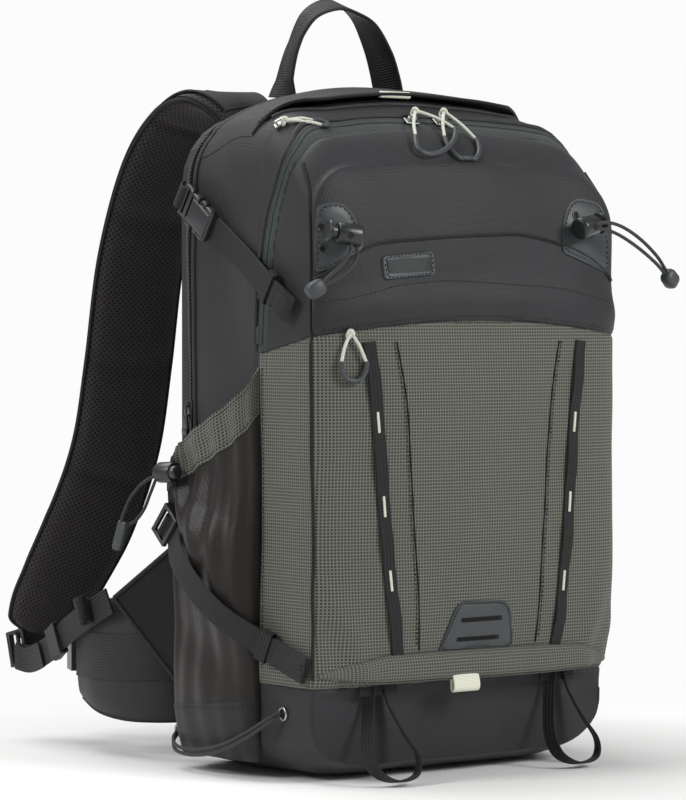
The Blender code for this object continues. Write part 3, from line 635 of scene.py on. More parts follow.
def woven(name, dark, light, pitch, depth, roughness, sheen):
    """A plain-woven cloth: crossing sets of threads, with slow variation of its colour."""
    material, shader = new_material(name, dark, roughness, Sheen_Weight=sheen,
                                    Sheen_Roughness=0.45, Specular_IOR_Level=0.28)
    at = place_on(material, "Object")
    across, along, upward = (waves(material, at, pitch, way) for way in "XYZ")
    weave = combined(material, combined(material, across, along, "ADD"), upward, "ADD")
    mixed = combined(material, speckle(material, 14.0, 4.0, at),
                     speckle(material, 700.0, 2.0, at), "MULTIPLY")
    feed(material, shader, Base_Color=tinted(material, mixed, dark, light),
         Normal=raised(material, weave, depth, 0.5))
    return material


nylon = woven("coated_nylon_oxford", "202022", "3c3c40", OXFORD, 0.00012, 0.52, 0.07)
tape_cloth = woven("zip_tape_twill", "2a302f", "515a57", 0.0016, 0.0002, 0.75, 0.08)

# Grey-green ripstop: a small check of lighter threads, 2.4 mm apart each way, on a dark ground.
CHECK = 0.0024
ripstop, shader = new_material("checked_ripstop_nylon", "4a4b42", 0.68, Sheen_Weight=0.06,
                               Sheen_Roughness=0.5, Specular_IOR_Level=0.25)
lines = combined(ripstop, *[waves(ripstop, place_on(ripstop), CHECK, way) for way in "XY"],
                 "MAXIMUM")
line_ramp = add(ripstop, "ShaderNodeMapRange", {"Value": lines, "From Min": 0.45,
                                                "From Max": 0.95})
ground = tinted(ripstop, speckle(ripstop, 16.0, 3.0, place_on(ripstop, "Object")),
                "262823", "33352f")
feed(ripstop, shader, Base_Color=tinted(ripstop, line_ramp.outputs[0], ground, "6c6d64"),
     Normal=raised(ripstop, lines, 0.00025, 0.5))


def in_tape(p):
    return pocket_top(p) > 0 and zip_front(p) > 0 and zip_rear(p) < 0


def in_main(p):
    return (under_lip(p) > 0 and rear_tape(p) < 0 and not in_tape(p)
            and (gusset_rear(p) > 0 if pocket_top(p) < 0 else zip_rear(p) > 0))


PANELS = (
    ("bottom_cloth", "bottom_panel", nylon, lambda p: under_lip(p) < 0),
    ("pocket_cloth", "front_pocket_panel", ripstop,
     lambda p: under_lip(p) > 0 and pocket_top(p) < 0 and p.y < GUSSET_Y),
    ("upper_cloth", "front_upper_panel", nylon, lambda p: pocket_top(p) > 0 and zip_front(p) < 0),
    ("front_zip_cloth", "front_zip_tape", tape_cloth, in_tape),
    ("main_cloth", "main_panel", nylon, in_main),
    ("rear_zip_cloth", "rear_zip_tape", tape_cloth,
     lambda p: under_lip(p) > 0 and rear_tape(p) > 0))
for panel in PANELS:
    panel_of(*panel)

# ---------------------------------------------------------------- seams, piping and stitching
# Panels meet at bound seams with a thin black piping, and every hem is lockstitched with
# bonded thread, about 3.5 mm to the stitch.
STITCH_PITCH = 0.0036
STITCH_LENGTH = 0.0025
THREAD = 0.00036


def on_skin(point, toward, lift=0.0):
    """The place on the bag met from `point` along `toward`, raised by lift, with its normal."""
    toward = Vector(toward)
    hit, normal, _, _ = SKIN.ray_cast(Vector(point), toward)
    if normal.dot(toward) > 0:
        normal = -normal
    return hit + normal * lift, normal


def on_top(x, y, lift=0.0):
    return on_skin((x, y, 0.8), (0, 0, -1), lift)


def on_front(x, z, lift=0.0):
    return on_skin((x, -0.4, z), (0, 1, 0), lift)


def on_side(side, y, z, lift=0.0):
    return on_skin((side * 0.4, y, z), (-side, 0, 0), lift)


def front_track(points, steps, lift, side=1):
    """A track over the bag's front along a smooth curve through (x, z) points."""
    return [on_front(side * p.x, p.y, lift)
            for p in smooth_path([(x, z, 0) for x, z in points], steps)]


def around(y_at, low, lift, count=170):
    """Points and normals up the bag's left side, over its top and down its right side."""
    turn_z = 0.40
    rays = [((0, z), (-1, 0)) for z in np.linspace(low, turn_z, count // 4, endpoint=False)]
    rays += [((0, turn_z), (-math.cos(t), math.sin(t))) for t in np.linspace(0, math.pi, count)]
    rays += [((0, z), (1, 0)) for z in np.linspace(turn_z, low, count // 4)][1:]
    found = []
    for (x, z), (dx, dz) in rays:
        y = y_at(z)
        for _ in range(3):
            hit, normal, _, _ = SKIN.ray_cast(Vector((x, y, z)), Vector((dx, 0, dz)))
            y = y_at(hit.z)
        found.append((hit + normal * lift, normal))
    return found


def spaced(track, step):
    """A track of points and normals taken again at equal steps along its length."""
    out, due, gone = [track[0]], step, 0.0
    for (a, na), (b, nb) in zip(track, track[1:]):
        length = (b - a).length
        while gone + length >= due and length > 0:
            t = (due - gone) / length
            out.append((a.lerp(b, t), na.lerp(nb, t).normalized()))
            due += step
        gone += length
    return out


CREASE = math.radians(40)           # sharper edges than this keep their edge


def finish_mesh(name, bm, material, body="bag", node=None, smooth=True, thick=None):
    """Turn a bmesh, or the shell of that thickness on it, into a piece that rides on a body."""
    if thick:
        bmesh.ops.solidify(bm, geom=bm.faces, thickness=thick)
        bmesh.ops.recalc_face_normals(bm, faces=bm.faces)
    mesh = bpy.data.meshes.new(name)
    bm.to_mesh(mesh)
    bm.free()
    if smooth:
        mesh.shade_smooth()
        mesh.set_sharp_from_angle(angle=CREASE)
    mesh.materials.append(material)
    made = bpy.data.objects.new(name, mesh)
    bpy.context.collection.objects.link(made)
    return settled(made, body, node)


def stitches(name, tracks, material, body="bag", pitch=STITCH_PITCH, radius=THREAD):
    """Rows of stitches along tracks of points and normals: each one a short sunken thread."""
    bm = bmesh.new()
    for track in tracks:
        row = spaced(track, pitch)
        for (p, n), (q, _) in zip(row, row[1:]):
            along = (q - p).normalized()
            side = along.cross(n)
            length = STITCH_LENGTH * pitch / STITCH_PITCH
            loops = []
            for share, lift, fat in ((0.0, -0.5, 0.5), (0.25, 0.5, 1.0), (0.75, 0.5, 1.0),
                                     (1.0, -0.5, 0.5)):
                at = p + along * (length * share) + n * (radius * lift)
                loops.append([bm.verts.new(at + (side * math.cos(t) + n * math.sin(t))
                                           * (radius * fat))
                              for t in [2 * math.pi * k / 5 for k in range(5)]])
            lace(bm, loops)
            bm.faces.new(list(reversed(loops[0])))
            bm.faces.new(loops[-1])
    bmesh.ops.recalc_face_normals(bm, faces=bm.faces)
    return finish_mesh(name, bm, material, body)


def piping(name, track, radius, material, body="bag", flat=1.0):
    """A round cord of covered piping laid along a track."""
    path = [p for p, _ in track]
    return sweep(name, path, [n for _, n in track], round_shape(1.0, 10), material, body,
                 wide=[radius * flat] * len(path), deep=[radius] * len(path))


# Bonded polyester thread, black and slightly shiny.
thread, _ = new_material("bonded_thread", "111112", 0.42)
piping_cloth = woven("piping_cloth", "101011", "222225", OXFORD, 0.0001, 0.6, 0.06)

CORNER_SEAM = ((-0.101, 0.0770), (-0.1002, 0.135), (-0.1005, 0.250), (-0.0995, 0.323),
               (-0.0990, 0.356), (-0.0985, 0.3946), (-0.0975, 0.4176), (-0.0931, 0.4328),
               (-0.0840, 0.4480))
for label, side in SIDES:
    corner = [on_side(side, p.x, p.y, 0.0004)
              for p in smooth_path([(y, z, 0) for y, z in CORNER_SEAM], 12)]
    piping(f"corner_piping_{label}", corner, 0.0013, piping_cloth)
    gusset_hem = [on_side(side, GUSSET_Y - 0.003, z, 0.0002)
                  for z in np.linspace(0.082, 0.304, 60)]
    stitches(f"gusset_stitching_{label}", [gusset_hem], thread)

# Roll of cloth that closes over the top of the pocket: its upper seam, and the row below it.
LIP_SEAM = ((-0.1385, 0.3654), (-0.1205, 0.3776), (-0.0981, 0.3893), (-0.0776, 0.3932),
            (-0.0236, 0.3972), (0.0200, 0.3992), (0.0446, 0.3996), (0.0775, 0.3945),
            (0.1055, 0.3850), (0.1308, 0.3720), (0.1385, 0.3655))
LIP_STITCH = ((-0.134, 0.3494), (-0.1166, 0.3513), (-0.0957, 0.3560), (-0.0722, 0.3611),
              (-0.0269, 0.3642), (0.0250, 0.3622), (0.0805, 0.3590), (0.1150, 0.3530),
              (0.134, 0.3490))
lip_seam = front_track(LIP_SEAM, 14, 0.0006)
lip_row = front_track(LIP_STITCH, 14, 0.0002)
piping("lip_seam_fold", lip_seam, 0.0007, nylon, flat=2.2)
seam_under = [(p + n * 0.0001 - Vector((0, 0, 0.0012)), n) for p, n in lip_seam]
piping("lip_seam_shadow", seam_under, 0.0006, piping_cloth, flat=0.8)
arch_row = [on_front(x, POCKET_TOP_Z + POCKET_ARCH * (1 - (x / FRONT_HALF) ** 2) + 0.0035, 0.0001)
            for x in np.linspace(-0.134, 0.134, 120)]
stitches("front_stitching", [lip_row, arch_row], thread)

# Inner seams of the pocket, inboard of the webbing, with a topstitched edge.
INNER_SEAM = ((0.0775, 0.3200), (0.0700, 0.2780), (0.0667, 0.2415), (0.0640, 0.2050),
              (0.0600, 0.1613), (0.0560, 0.0950))
for label, side in SIDES:
    track = front_track(INNER_SEAM, 16, 0.0003, side)
    piping(f"pocket_seam_{label}", track, 0.0005, piping_cloth, flat=1.4)
    beside = [(p + Vector((side * 0.0024, 0, 0)) + n * 0.0001, n) for p, n in track]
    stitches(f"pocket_stitching_{label}", [beside], thread)

# ---------------------------------------------------------------- front compartment zip
# Reverse coil zip on a grey-green tape: the tape's folded edges meet over the coil. It runs up
# each side and over the top, with a nylon welt standing along its rear edge.
ZIP_FOOT_Z = 0.318                  # both ends of the front zip run into the pocket's top seam
REAR_ZIP_FOOT_Z = 0.080
zip_line = around(zip_middle, ZIP_FOOT_Z, 0.0003)


def beside_zip(shift):
    """The zip's middle line, moved along the cloth."""
    return [(p + along.cross(n) * shift, n)
            for (p, n), along in zip(zip_line, headings([p for p, _ in zip_line]))]


for part, shift in (("front", -0.0012), ("rear", -0.0042)):
    piping(f"front_zip_edge_{part}", beside_zip(shift), 0.0015, tape_cloth, flat=0.45)
stitches("front_zip_stitching", [beside_zip(-0.0048)], thread)
welt = around(lambda z: zip_middle(z) + TAPE_HALF + 0.0012, ZIP_FOOT_Z, 0.0012)
piping("front_zip_welt", welt, 0.0022, nylon)

# ---------------------------------------------------------------- rear zip
# Chunky moulded acetal teeth around the rim of the back panel, beside a padded piping.
TOOTH_PITCH = 0.0026
acetal = moulded("moulded_acetal", "1c1d1f", 0.36, 900.0, 0.00006, 0.4,
                 (45.0, 4.0, "17181a", "2b2d30"), Coat_Weight=0.25, Coat_Roughness=0.25)


def teeth(name, track, pitch, reach, material, body="bag"):
    """Interlocking teeth along a track, alternately set from one tape and the other."""
    bm = bmesh.new()
    row = spaced(track, pitch / 2)
    for i, ((p, n), (q, _)) in enumerate(zip(row, row[1:])):
        along = (q - p).normalized()
        side = along.cross(n) * (1 if i % 2 else -1)
        base = []
        for a, s, h in ((-1, -0.35, 0), (1, -0.35, 0), (1, 1, 0), (-1, 1, 0),
                        (-0.7, -0.3, 1), (0.7, -0.3, 1), (0.7, 0.85, 0.8), (-0.7, 0.85, 0.8)):
            base.append(bm.verts.new(p + along * (a * pitch * 0.21) + side * (s * reach)
                                     + n * (h * reach * 0.62)))
        for quad in ((3, 2, 1, 0), (4, 5, 6, 7), (0, 1, 5, 4), (1, 2, 6, 5), (2, 3, 7, 6),
                     (3, 0, 4, 7)):
            bm.faces.new([base[k] for k in quad])
    bmesh.ops.recalc_face_normals(bm, faces=bm.faces)
    return finish_mesh(name, bm, material, body, smooth=False)


rear_line = around(lambda z: 0.0512, REAR_ZIP_FOOT_Z, 0.0004)
teeth("rear_zip_teeth", rear_line, TOOTH_PITCH, 0.0024, acetal)
rear_edge = around(lambda z: REAR_TAPE_Y - 0.0010, REAR_ZIP_FOOT_Z, 0.0006)
piping("rear_piping", rear_edge, 0.0024, nylon)

# ---------------------------------------------------------------- storm flap and top pocket
# A hood of the same nylon over the mouth of the top pocket. Its front edge stands clear of the
# bag and is bound with tape; a small zip runs under it.
FLAP_REAR_Y = 0.0450
FLAP_HALF = 0.1335
FLAP_LOW_Z = 0.44                   # the flap lies wholly above this height


def flap_edge(x):
    return -0.0410 + 0.0210 * step_up(abs(x), 0.080, 0.137)


def flap_lift(p):
    near = step_up(-(p.y - flap_edge(p.x)), -0.030, 0.0)
    ends = 1 - step_up(abs(p.x), 0.095, 0.134)
    return 0.0004 + (0.0008 + 0.0060 * near) * ends


bm = skin.copy()
cut_along(bm, lambda p: p.y - flap_edge(p.x) if p.z > FLAP_LOW_Z else -1.0)
cut_along(bm, lambda p: FLAP_HALF - abs(p.x) if p.z > FLAP_LOW_Z else -1.0)


def in_flap(p):
    return p.z > FLAP_LOW_Z and abs(p.x) < FLAP_HALF and flap_edge(p.x) < p.y < FLAP_REAR_Y


bmesh.ops.delete(bm, geom=[f for f in bm.faces if not in_flap(f.calc_center_median())],
                 context="FACES")
bm.normal_update()
for v, place in [(v, v.co + v.normal * flap_lift(v.co)) for v in bm.verts]:
    v.co = place
finish_mesh("storm_flap_cloth", bm, nylon, node="storm_flap", thick=0.0014)
edge_track = []
mouth = []
for x in np.linspace(-0.1325, 0.1325, 130):
    p, n = on_top(x, flap_edge(x))
    edge_track.append((p + n * flap_lift(p), n))
    mouth.append(on_top(x, flap_edge(x) - 0.0035, 0.0004))
piping("flap_binding", edge_track, 0.0011, piping_cloth, flat=1.3)
piping("top_pocket_welt", mouth[6:-6], 0.0018, nylon)
# The near-black strip just behind the flap's front edge is painted shade: it stands for the shadow
# in the gap under the flap, and is no lining of the pocket.
mouth_shade = moulded("painted_pocket_mouth_shade", "080809", 0.85, 900.0, 0.0002, 0.4)
bm = bmesh.new()
rows = []
for back in (-0.0005, 0.0030, 0.0080, 0.0140):
    rows.append([bm.verts.new(on_top(x, flap_edge(x) + back, 0.0005)[0])
                 for x in np.linspace(-0.120, 0.120, 90)])
lace(bm, rows, closed=False)
finish_mesh("top_pocket_lining", bm, mouth_shade, thick=0.0004)
hem = [(p + Vector((0, 0.0045, 0)) + n * 0.0012, n) for p, n in edge_track]
hem = [(on_top(p.x, p.y)[0] + n * (flap_lift(p) + 0.0001), n) for p, n in hem]
stitches("flap_stitching", [hem[4:-4]], thread)
under = [on_top(x, flap_edge(x) + 0.0015, 0.0004) for x in np.linspace(-0.122, 0.122, 110)]
teeth("top_zip_coil", under, 0.0016, 0.0016, acetal)

# ---------------------------------------------------------------- stretch side pockets
# Two-way stretch nylon with a check cuff. A drawcord gathers the cuff at the rear, so the cloth
# hangs from it in long folds; a nylon band closes the bottom.
POCKET_CENTRE_Y = 0.008
POCKET_HALF_DEPTH = 0.0475
POCKET_FLOOR_Z = 0.012
POCKET_SIDE_X = 0.1402
POCKET_INNER_X = 0.1385
POCKET_SWELL = ((0.0, 0.0110), (0.07, 0.0190), (0.16, 0.0240), (0.45, 0.0255), (0.80, 0.0215),
                (1.0, 0.0185))
BAND_TOP = 0.155                     # share of the height that the nylon band takes
GATHER_A = 0.88                      # where the drawcord gathers the mouth
GATHER_H = 0.93
CUFF_LOW = 0.885                     # share at which the cuff begins

stretch = woven("stretch_nylon", "171413", "3b3633", 0.0013, 0.0001, 0.38, 0.08)
cuff_cloth = ripstop.copy()
cuff_cloth.name = "checked_ripstop_cuff"


def mouth_height(a):
    """The cuff's top edge: high at the front, falling in a hollow curve to the gathered rear."""
    return 0.302 - 0.078 * a**0.85


def pocket_point(side, a, h, extra=0.0):
    """A point of the pocket: a runs from front to rear and h from floor to mouth."""
    turn = math.pi * a
    swell = np.interp(h, [s for s, _ in POCKET_SWELL], [w for _, w in POCKET_SWELL])
    round_in = math.sin(turn) ** 0.8
    # The folds fan out from where the drawcord gathers the cuff, low towards the front.
    reach = math.hypot(GATHER_A - a, 1.15 * (GATHER_H - h)) + 1e-6
    fan = math.atan2(GATHER_A - a, GATHER_H - h + 0.02)
    drift = 0.9 * noise.noise(Vector((h * 2.6, a * 2.1, side)))
    wave = math.sin(7.5 * fan + drift + 1.1)
    fold = 0.0078 * (wave if wave > 0 else 0.5 * wave) * min(1.0, reach / 0.35)
    fold += 0.0016 * math.sin(2 * math.pi * (6.3 * a - 0.55 * h) + 1.9)
    fold *= round_in * (0.30 + 0.70 * step_up(h, 0.10, 0.85)) * (1 - 0.55 * step_up(h, 0.90, 1.0))
    gather = 0.0
    if h > 0.80 and a > 0.60:
        gather = 0.0017 * math.sin(2 * math.pi * 26 * a) * step_up(h, 0.80, 1.0) * step_up(
            a, 0.60, 0.72)
    cinch = 0.0045 * math.exp(-((h - 0.52 + 0.35 * (1 - a)) / 0.10) ** 2) * round_in
    slack = 0.0012 * noise.noise(Vector((a * 5, h * 7, side * 3.0)))
    bag_out = 0.0085 * math.exp(-((a - 0.86) / 0.13) ** 2 - ((h - 0.90) / 0.13) ** 2)
    out = (swell - 0.002) * round_in + bag_out + fold + gather - cinch + (slack + extra) * round_in
    z = POCKET_FLOOR_Z + (mouth_height(a) - POCKET_FLOOR_Z) * h
    y = POCKET_CENTRE_Y - (POCKET_HALF_DEPTH + extra * 0.3) * math.cos(turn)
    return Vector((side * (POCKET_SIDE_X + out), y, z))


def pocket_cloth(name, side, low, high, rows, material, extra, thick, node=None):
    bm = bmesh.new()
    uv = bm.loops.layers.uv.new("cloth")
    across = 110
    grid = [[bm.verts.new(pocket_point(side, 0.006 + 0.986 * i / across,
                                       low + (high - low) * j / rows, extra))
             for i in range(across + 1)] for j in range(rows + 1)]
    for j in range(rows):
        for i in range(across):
            ring = ((j, i), (j, i + 1), (j + 1, i + 1), (j + 1, i))
            face = bm.faces.new([grid[r][c] for r, c in ring])
            for loop, (r, c) in zip(face.loops, ring):
                loop[uv].uv = (c / across * 0.112, (low + (high - low) * r / rows) * 0.26)
    bm.normal_update()
    bm.faces.ensure_lookup_table()
    if bm.faces[len(bm.faces) // 2].normal.x * side < 0:
        bmesh.ops.reverse_faces(bm, faces=bm.faces)
    bmesh.ops.solidify(bm, geom=bm.faces, thickness=thick)
    for v in bm.verts:                  # nothing reaches in past the bag's own side
        v.co.x = side * max(v.co.x * side, POCKET_INNER_X)
    bmesh.ops.recalc_face_normals(bm, faces=bm.faces)
    return finish_mesh(name, bm, material, node=node)


for label, side in SIDES:
    pocket_cloth(f"side_pocket_cloth_{label}", side, BAND_TOP, CUFF_LOW + 0.01, 90, stretch, 0.0,
                 0.0010, node=f"side_pocket_{label}")
    pocket_cloth(f"pocket_band_{label}", side, 0.0, BAND_TOP + 0.01, 14, nylon, 0.0007, 0.0012)
    pocket_cloth(f"pocket_cuff_{label}", side, CUFF_LOW, 1.0, 22, cuff_cloth, 0.0012, 0.0020)
    tracks = []
    for h in (CUFF_LOW + 0.012, 0.988, BAND_TOP - 0.006):
        row = []
        for i in range(3, 108):
            p = pocket_point(side, i / 110, h, 0.0013)
            q = pocket_point(side, i / 110 + 0.01, h, 0.0013)
            n = (q - p).cross(UP).normalized()
            row.append((p, n if n.x * side > 0 else -n))
        tracks.append(row)
    stitches(f"pocket_hem_stitching_{label}", tracks, thread)

# ---------------------------------------------------------------- front webbing
# Two runs of black polyester webbing, 10 mm wide, tacked down every 55 mm in cream thread so
# that gear can be tied between the tacks.
DAISY = ((0.1005, 0.3200), (0.0956, 0.2770), (0.0886, 0.2030), (0.0820, 0.1400), (0.0757, 0.0900))
DAISY_WIDTH = 0.0105
TACKS = {"left": (0.2620, 0.2010, 0.1470), "right": (0.2590, 0.1990, 0.1400)}
TACK_LENGTH = 0.0150
WEB_THICK = 0.0015


def webbing(name, ribs_across, ribs_along, dark, light):
    """Woven webbing: ribs at the two pitches given, in metres, across and along its run."""
    material, shader = new_material(name, dark, 0.58, Sheen_Weight=0.08, Sheen_Roughness=0.4,
                                    Specular_IOR_Level=0.3)
    ribs = [waves(material, place_on(material), pitch, way)
            for way, pitch in (("X", ribs_across), ("Y", ribs_along))]
    weave = combined(material, *ribs, "MULTIPLY")
    speck = speckle(material, 1100.0, 1.0, place_on(material, "Object"))
    shade = combined(material, combined(material, weave, 0.25, "ADD"), speck, "MULTIPLY")
    feed(material, shader, Base_Color=tinted(material, shade, dark, light),
         Normal=raised(material, weave, 0.0004, 0.9))
    return material


def flat_shape(width, thick):
    """A flat band's section, with softened edges."""
    w, t = width / 2, thick / 2
    return [(-w, 0), (-w + t * 0.6, -t), (-w / 2, -t), (0, -t), (w / 2, -t), (w - t * 0.6, -t),
            (w, 0), (w - t * 0.6, t), (w / 2, t), (0, t), (-w / 2, t), (-w + t * 0.6, t)]


daisy_web = webbing("polyester_webbing_fine", 0.0026, 0.0011, "0d0d0e", "2c2c2e")
tack_thread = ribbed("cream_tack_thread", "dedecb", 0.55, 0.2, lambda m: place_on(m, "Object"),
                     0.0009, "Z", "c6c6b0", "efefe0", 0.0003, 0.8)

for label, side in SIDES:
    path, across = [], []
    for p in smooth_path([(x, z, 0) for x, z in DAISY], 26):
        near = min(abs(p.y - z) for z in TACKS[label] + (0.320, 0.088))
        spot, normal = on_front(side * p.x, p.y, 0.0010 + 0.0014 * step_up(near, 0.008, 0.026))
        path.append(spot)
        across.append(normal.cross(UP))
    sweep(f"daisy_webbing_{label}", path, across, flat_shape(DAISY_WIDTH, WEB_THICK), daisy_web,
          node=f"daisy_chain_{label}")
    for number, z in enumerate(TACKS[label]):
        x = np.interp(z, [q for _, q in reversed(DAISY)], [q for q, _ in reversed(DAISY)])
        lean = (np.interp(z + 0.01, [q for _, q in reversed(DAISY)],
                          [q for q, _ in reversed(DAISY)]) - x) / 0.01
        points = []
        for k in range(41):
            dz = TACK_LENGTH * (k / 40 - 0.5)
            points.append(on_front(side * (x + lean * dz), z + dz, 0.0019))
        sweep(f"bar_tack_{label}_{number}", [p for p, _ in points], Vector((1, 0, 0)),
              round_shape(1.0, 8), tack_thread,
              wide=[0.00125 * (1.0 if k % 2 else 0.86) for k in range(41)],
              deep=[0.0007 * (1.0 if k % 2 else 0.7) for k in range(41)])

# ---------------------------------------------------------------- rubber patches
# Moulded rubber patches, stitched round their rims: two D-shaped ones that take the bungees, a
# blank label plate, and a trapezium with two slots for a pole strap.
D_PATCH = ((-0.1378, 0.4133), (-0.1362, 0.4180), (-0.1273, 0.4205), (-0.1194, 0.4198),
           (-0.1129, 0.4145), (-0.1086, 0.4060), (-0.1034, 0.3880), (-0.1190, 0.3770),
           (-0.1376, 0.3690), (-0.1380, 0.3900))
D_PATCH_RIGHT = ((0.1318, 0.4180), (0.1265, 0.4245), (0.1066, 0.4278), (0.0984, 0.4242),
                 (0.0905, 0.4150), (0.0870, 0.4050), (0.0850, 0.3860), (0.1050, 0.3790),
                 (0.1330, 0.3700), (0.1335, 0.3950))
LABEL = ((-0.0893, 0.3815), (-0.0419, 0.3857), (-0.0411, 0.3688), (-0.0877, 0.3648))
POLE_PATCH = ((-0.0180, 0.1290), (0.0225, 0.1280), (0.0290, 0.1230), (0.0345, 0.0925),
              (-0.0385, 0.0925), (-0.0245, 0.1245))


def rounded(corners, radius, steps=6):
    """A closed outline with its corners rounded."""
    out = []
    count = len(corners)
    for i in range(count):
        a, b, c = (Vector(corners[(i + k) % count]) for k in (-1, 0, 1))
        cut = min(radius, (a - b).length * 0.45, (c - b).length * 0.45)
        start, end = b + (a - b).normalized() * cut, b + (c - b).normalized() * cut
        for k in range(steps + 1):
            t = k / steps
            out.append(start * (1 - t) ** 2 + b * (2 * t * (1 - t)) + end * t * t)
    return out


def patch(name, corners, radius, profile, material, node=None):
    """A moulded plate laid on the bag: profile gives height over the skin at distances in."""
    rim = rounded(corners, radius)
    dense = []
    for a, b in zip(rim, rim[1:] + rim[:1]):
        parts = max(1, int((b - a).length / 0.0025))
        dense += [a.lerp(b, k / parts) for k in range(parts)]
    middle = sum(dense, Vector((0, 0))) / len(dense)
    reach = max((v - middle).length for v in dense)
    bm = bmesh.new()
    rows = []
    for inset, height in profile:
        ring = []
        for v in dense:
            far = (v - middle).length
            at = middle + (v - middle) * max(0.02, 1 - inset / far * (0.5 + 0.5 * far / reach))
            ring.append(bm.verts.new(on_front(at.x, at.y, height)[0]))
        rows.append(ring)
    for share in (0.66, 0.33, 0.08):
        ring = []
        for v in dense:
            far = (v - middle).length
            inner = max(0.02, 1 - profile[-1][0] / far * (0.5 + 0.5 * far / reach)) * share
            at = middle + (v - middle) * inner
            ring.append(bm.verts.new(on_front(at.x, at.y, profile[-1][1])[0]))
        rows.append(ring)
    lace(bm, rows)
    bm.faces.new(rows[-1])
    bm.faces.new(list(reversed(rows[0])))
    bmesh.ops.recalc_face_normals(bm, faces=bm.faces)
    return finish_mesh(name, bm, material, node=node)


def rim_track(corners, radius, inset, height):
    """A closed track inside a patch's rim, for its stitching."""
    rim = rounded(corners, radius)
    middle = sum(rim, Vector((0, 0))) / len(rim)
    track = []
    for v in rim + rim[:1]:
        at = v + (middle - v).normalized() * inset
        track.append(on_front(at.x, at.y, height))
    return track


PATCH_PROFILE = ((0.0, -0.0006), (0.0001, 0.0008), (0.0006, 0.0013), (0.0020, 0.0013),
                 (0.0026, 0.0010), (0.0032, 0.0013))
LABEL_PROFILE = ((0.0, -0.0006), (0.0002, 0.0014), (0.0008, 0.0021), (0.0028, 0.0021),
                 (0.0033, 0.0012), (0.0040, 0.0012), (0.0043, 0.0016), (0.0052, 0.0016),
                 (0.0055, 0.0012))
label_rubber = moulded("label_rubber", "4b5153", 0.42, 1300.0, 0.00008, 0.6, Coat_Weight=0.2,
                       Coat_Roughness=0.3)
dark_hole, _ = new_material("shadowed_hole", "050505", 0.8)

for label, side in SIDES:
    corners = D_PATCH if label == "left" else D_PATCH_RIGHT
    patch(f"bungee_patch_plate_{label}", corners, 0.004, PATCH_PROFILE, rubber,
          node=f"bungee_patch_{label}")
    stitches(f"bungee_patch_stitching_{label}", [rim_track(corners, 0.004, 0.0027, 0.0013)],
             thread, pitch=0.0040)
    holes = ((-0.1345, 0.4026), (-0.1334, 0.3872)) if label == "left" else ((0.1010, 0.4140),)
    for number, (x, z) in enumerate(holes):
        spot, normal = on_front(x, z, 0.0013)
        u = normal.cross(UP).normalized()
        v = normal.cross(u)
        circle = [spot + (u * math.cos(t) + v * math.sin(t)) * 0.0028
                  for t in [2 * math.pi * k / 24 for k in range(24)]]
        sweep(f"patch_eyelet_{label}_{number}", circle, normal, round_shape(0.0008, 8), acetal,
              closed=True)
        sweep(f"patch_hole_{label}_{number}", [spot - normal * 0.0006, spot + normal * 0.0003], u,
              round_shape(0.0024, 20), dark_hole)

patch("label_plate", LABEL, 0.0035, LABEL_PROFILE, label_rubber)
label_field = moulded("label_field", "26292a", 0.55, 1300.0, 0.0002, 0.5)
label_x = sum(x for x, _ in LABEL) / 4
label_z = sum(z for _, z in LABEL) / 4
field = [(label_x + 0.84 * (x - label_x), label_z + 0.58 * (z - label_z)) for x, z in LABEL]
patch("label_field", field, 0.0015, ((0.0, 0.0010), (0.0001, 0.0018), (0.0004, 0.0020)),
      label_field)
stitches("label_stitching", [rim_track(LABEL, 0.0035, 0.0020, 0.0021)], thread, pitch=0.0034,
         radius=0.0005)
patch("pole_patch", POLE_PATCH, 0.0045, PATCH_PROFILE, rubber)
stitches("pole_patch_stitching", [rim_track(POLE_PATCH, 0.0045, 0.0025, 0.0014)], thread,
         pitch=0.0026)
for number, (z, left, right) in enumerate(((0.1155, -0.0185, 0.0205), (0.1015, -0.0215, 0.0185))):
    slot = [on_front(x, z, 0.0012)[0] for x in np.linspace(left, right, 30)]
    sweep(f"pole_slot_{number}", slot, UP, round_shape(1.0, 10), dark_hole,
          wide=[0.0020] * 30, deep=[0.0004] * 30)
    cords = [on_front(x, z, 0.0018) for x in np.linspace(left + 0.002, right - 0.002, 60)]
    teeth(f"pole_slot_web_{number}", cords, 0.0022, 0.0011, daisy_web)

# ---------------------------------------------------------------- pocket lip
# A rolled hem of the check cloth that overhangs the bottom panel, with a folded cream tab.
LIP_TOP = ((-0.1392, 0.0800), (-0.1150, 0.0872), (-0.0876, 0.0930), (-0.0300, 0.0936),
           (0.0308, 0.0932), (0.0991, 0.0915), (0.1200, 0.0862), (0.1392, 0.0795))
LIP_LOW = ((-0.1392, 0.0788), (-0.1150, 0.0740), (-0.0876, 0.0722), (-0.0235, 0.0718),
           (0.0308, 0.0712), (0.0667, 0.0712), (0.1100, 0.0722), (0.1392, 0.0760))
bm = bmesh.new()
lip_uv = bm.loops.layers.uv.new("cloth")
grid = []
for i in range(121):
    x = -0.1375 + 0.275 * i / 120
    top = float(np.interp(x, [p[0] for p in LIP_TOP], [p[1] for p in LIP_TOP]))
    low = float(np.interp(x, [p[0] for p in LIP_LOW], [p[1] for p in LIP_LOW]))
    high_spot, _ = on_front(x, top, 0.0002)
    low_spot, _ = on_front(x, max(low - 0.004, 0.06), 0.0)
    full = math.sin(math.pi * (i + 2) / 124) ** 0.6
    proud = 0.0062 * full + 0.0010 * noise.noise(Vector((x * 40, 0, 0)))
    row = []
    for k in range(17):
        turn = math.pi * k / 16
        z = (top + low) / 2 + (top - low) / 2 * math.cos(turn)
        y = high_spot.y - proud * math.sin(turn) ** 0.75 - 0.0014 * full * (k / 16)
        row.append(Vector((x, y, z)))
    row.append(Vector((x, (row[-1].y + low_spot.y) / 2, low + 0.0006)))
    row.append(Vector((x, low_spot.y + 0.001, low + 0.0012)))
    grid.append(row)
verts = [[bm.verts.new(p) for p in row] for row in grid]
run = [0.0]
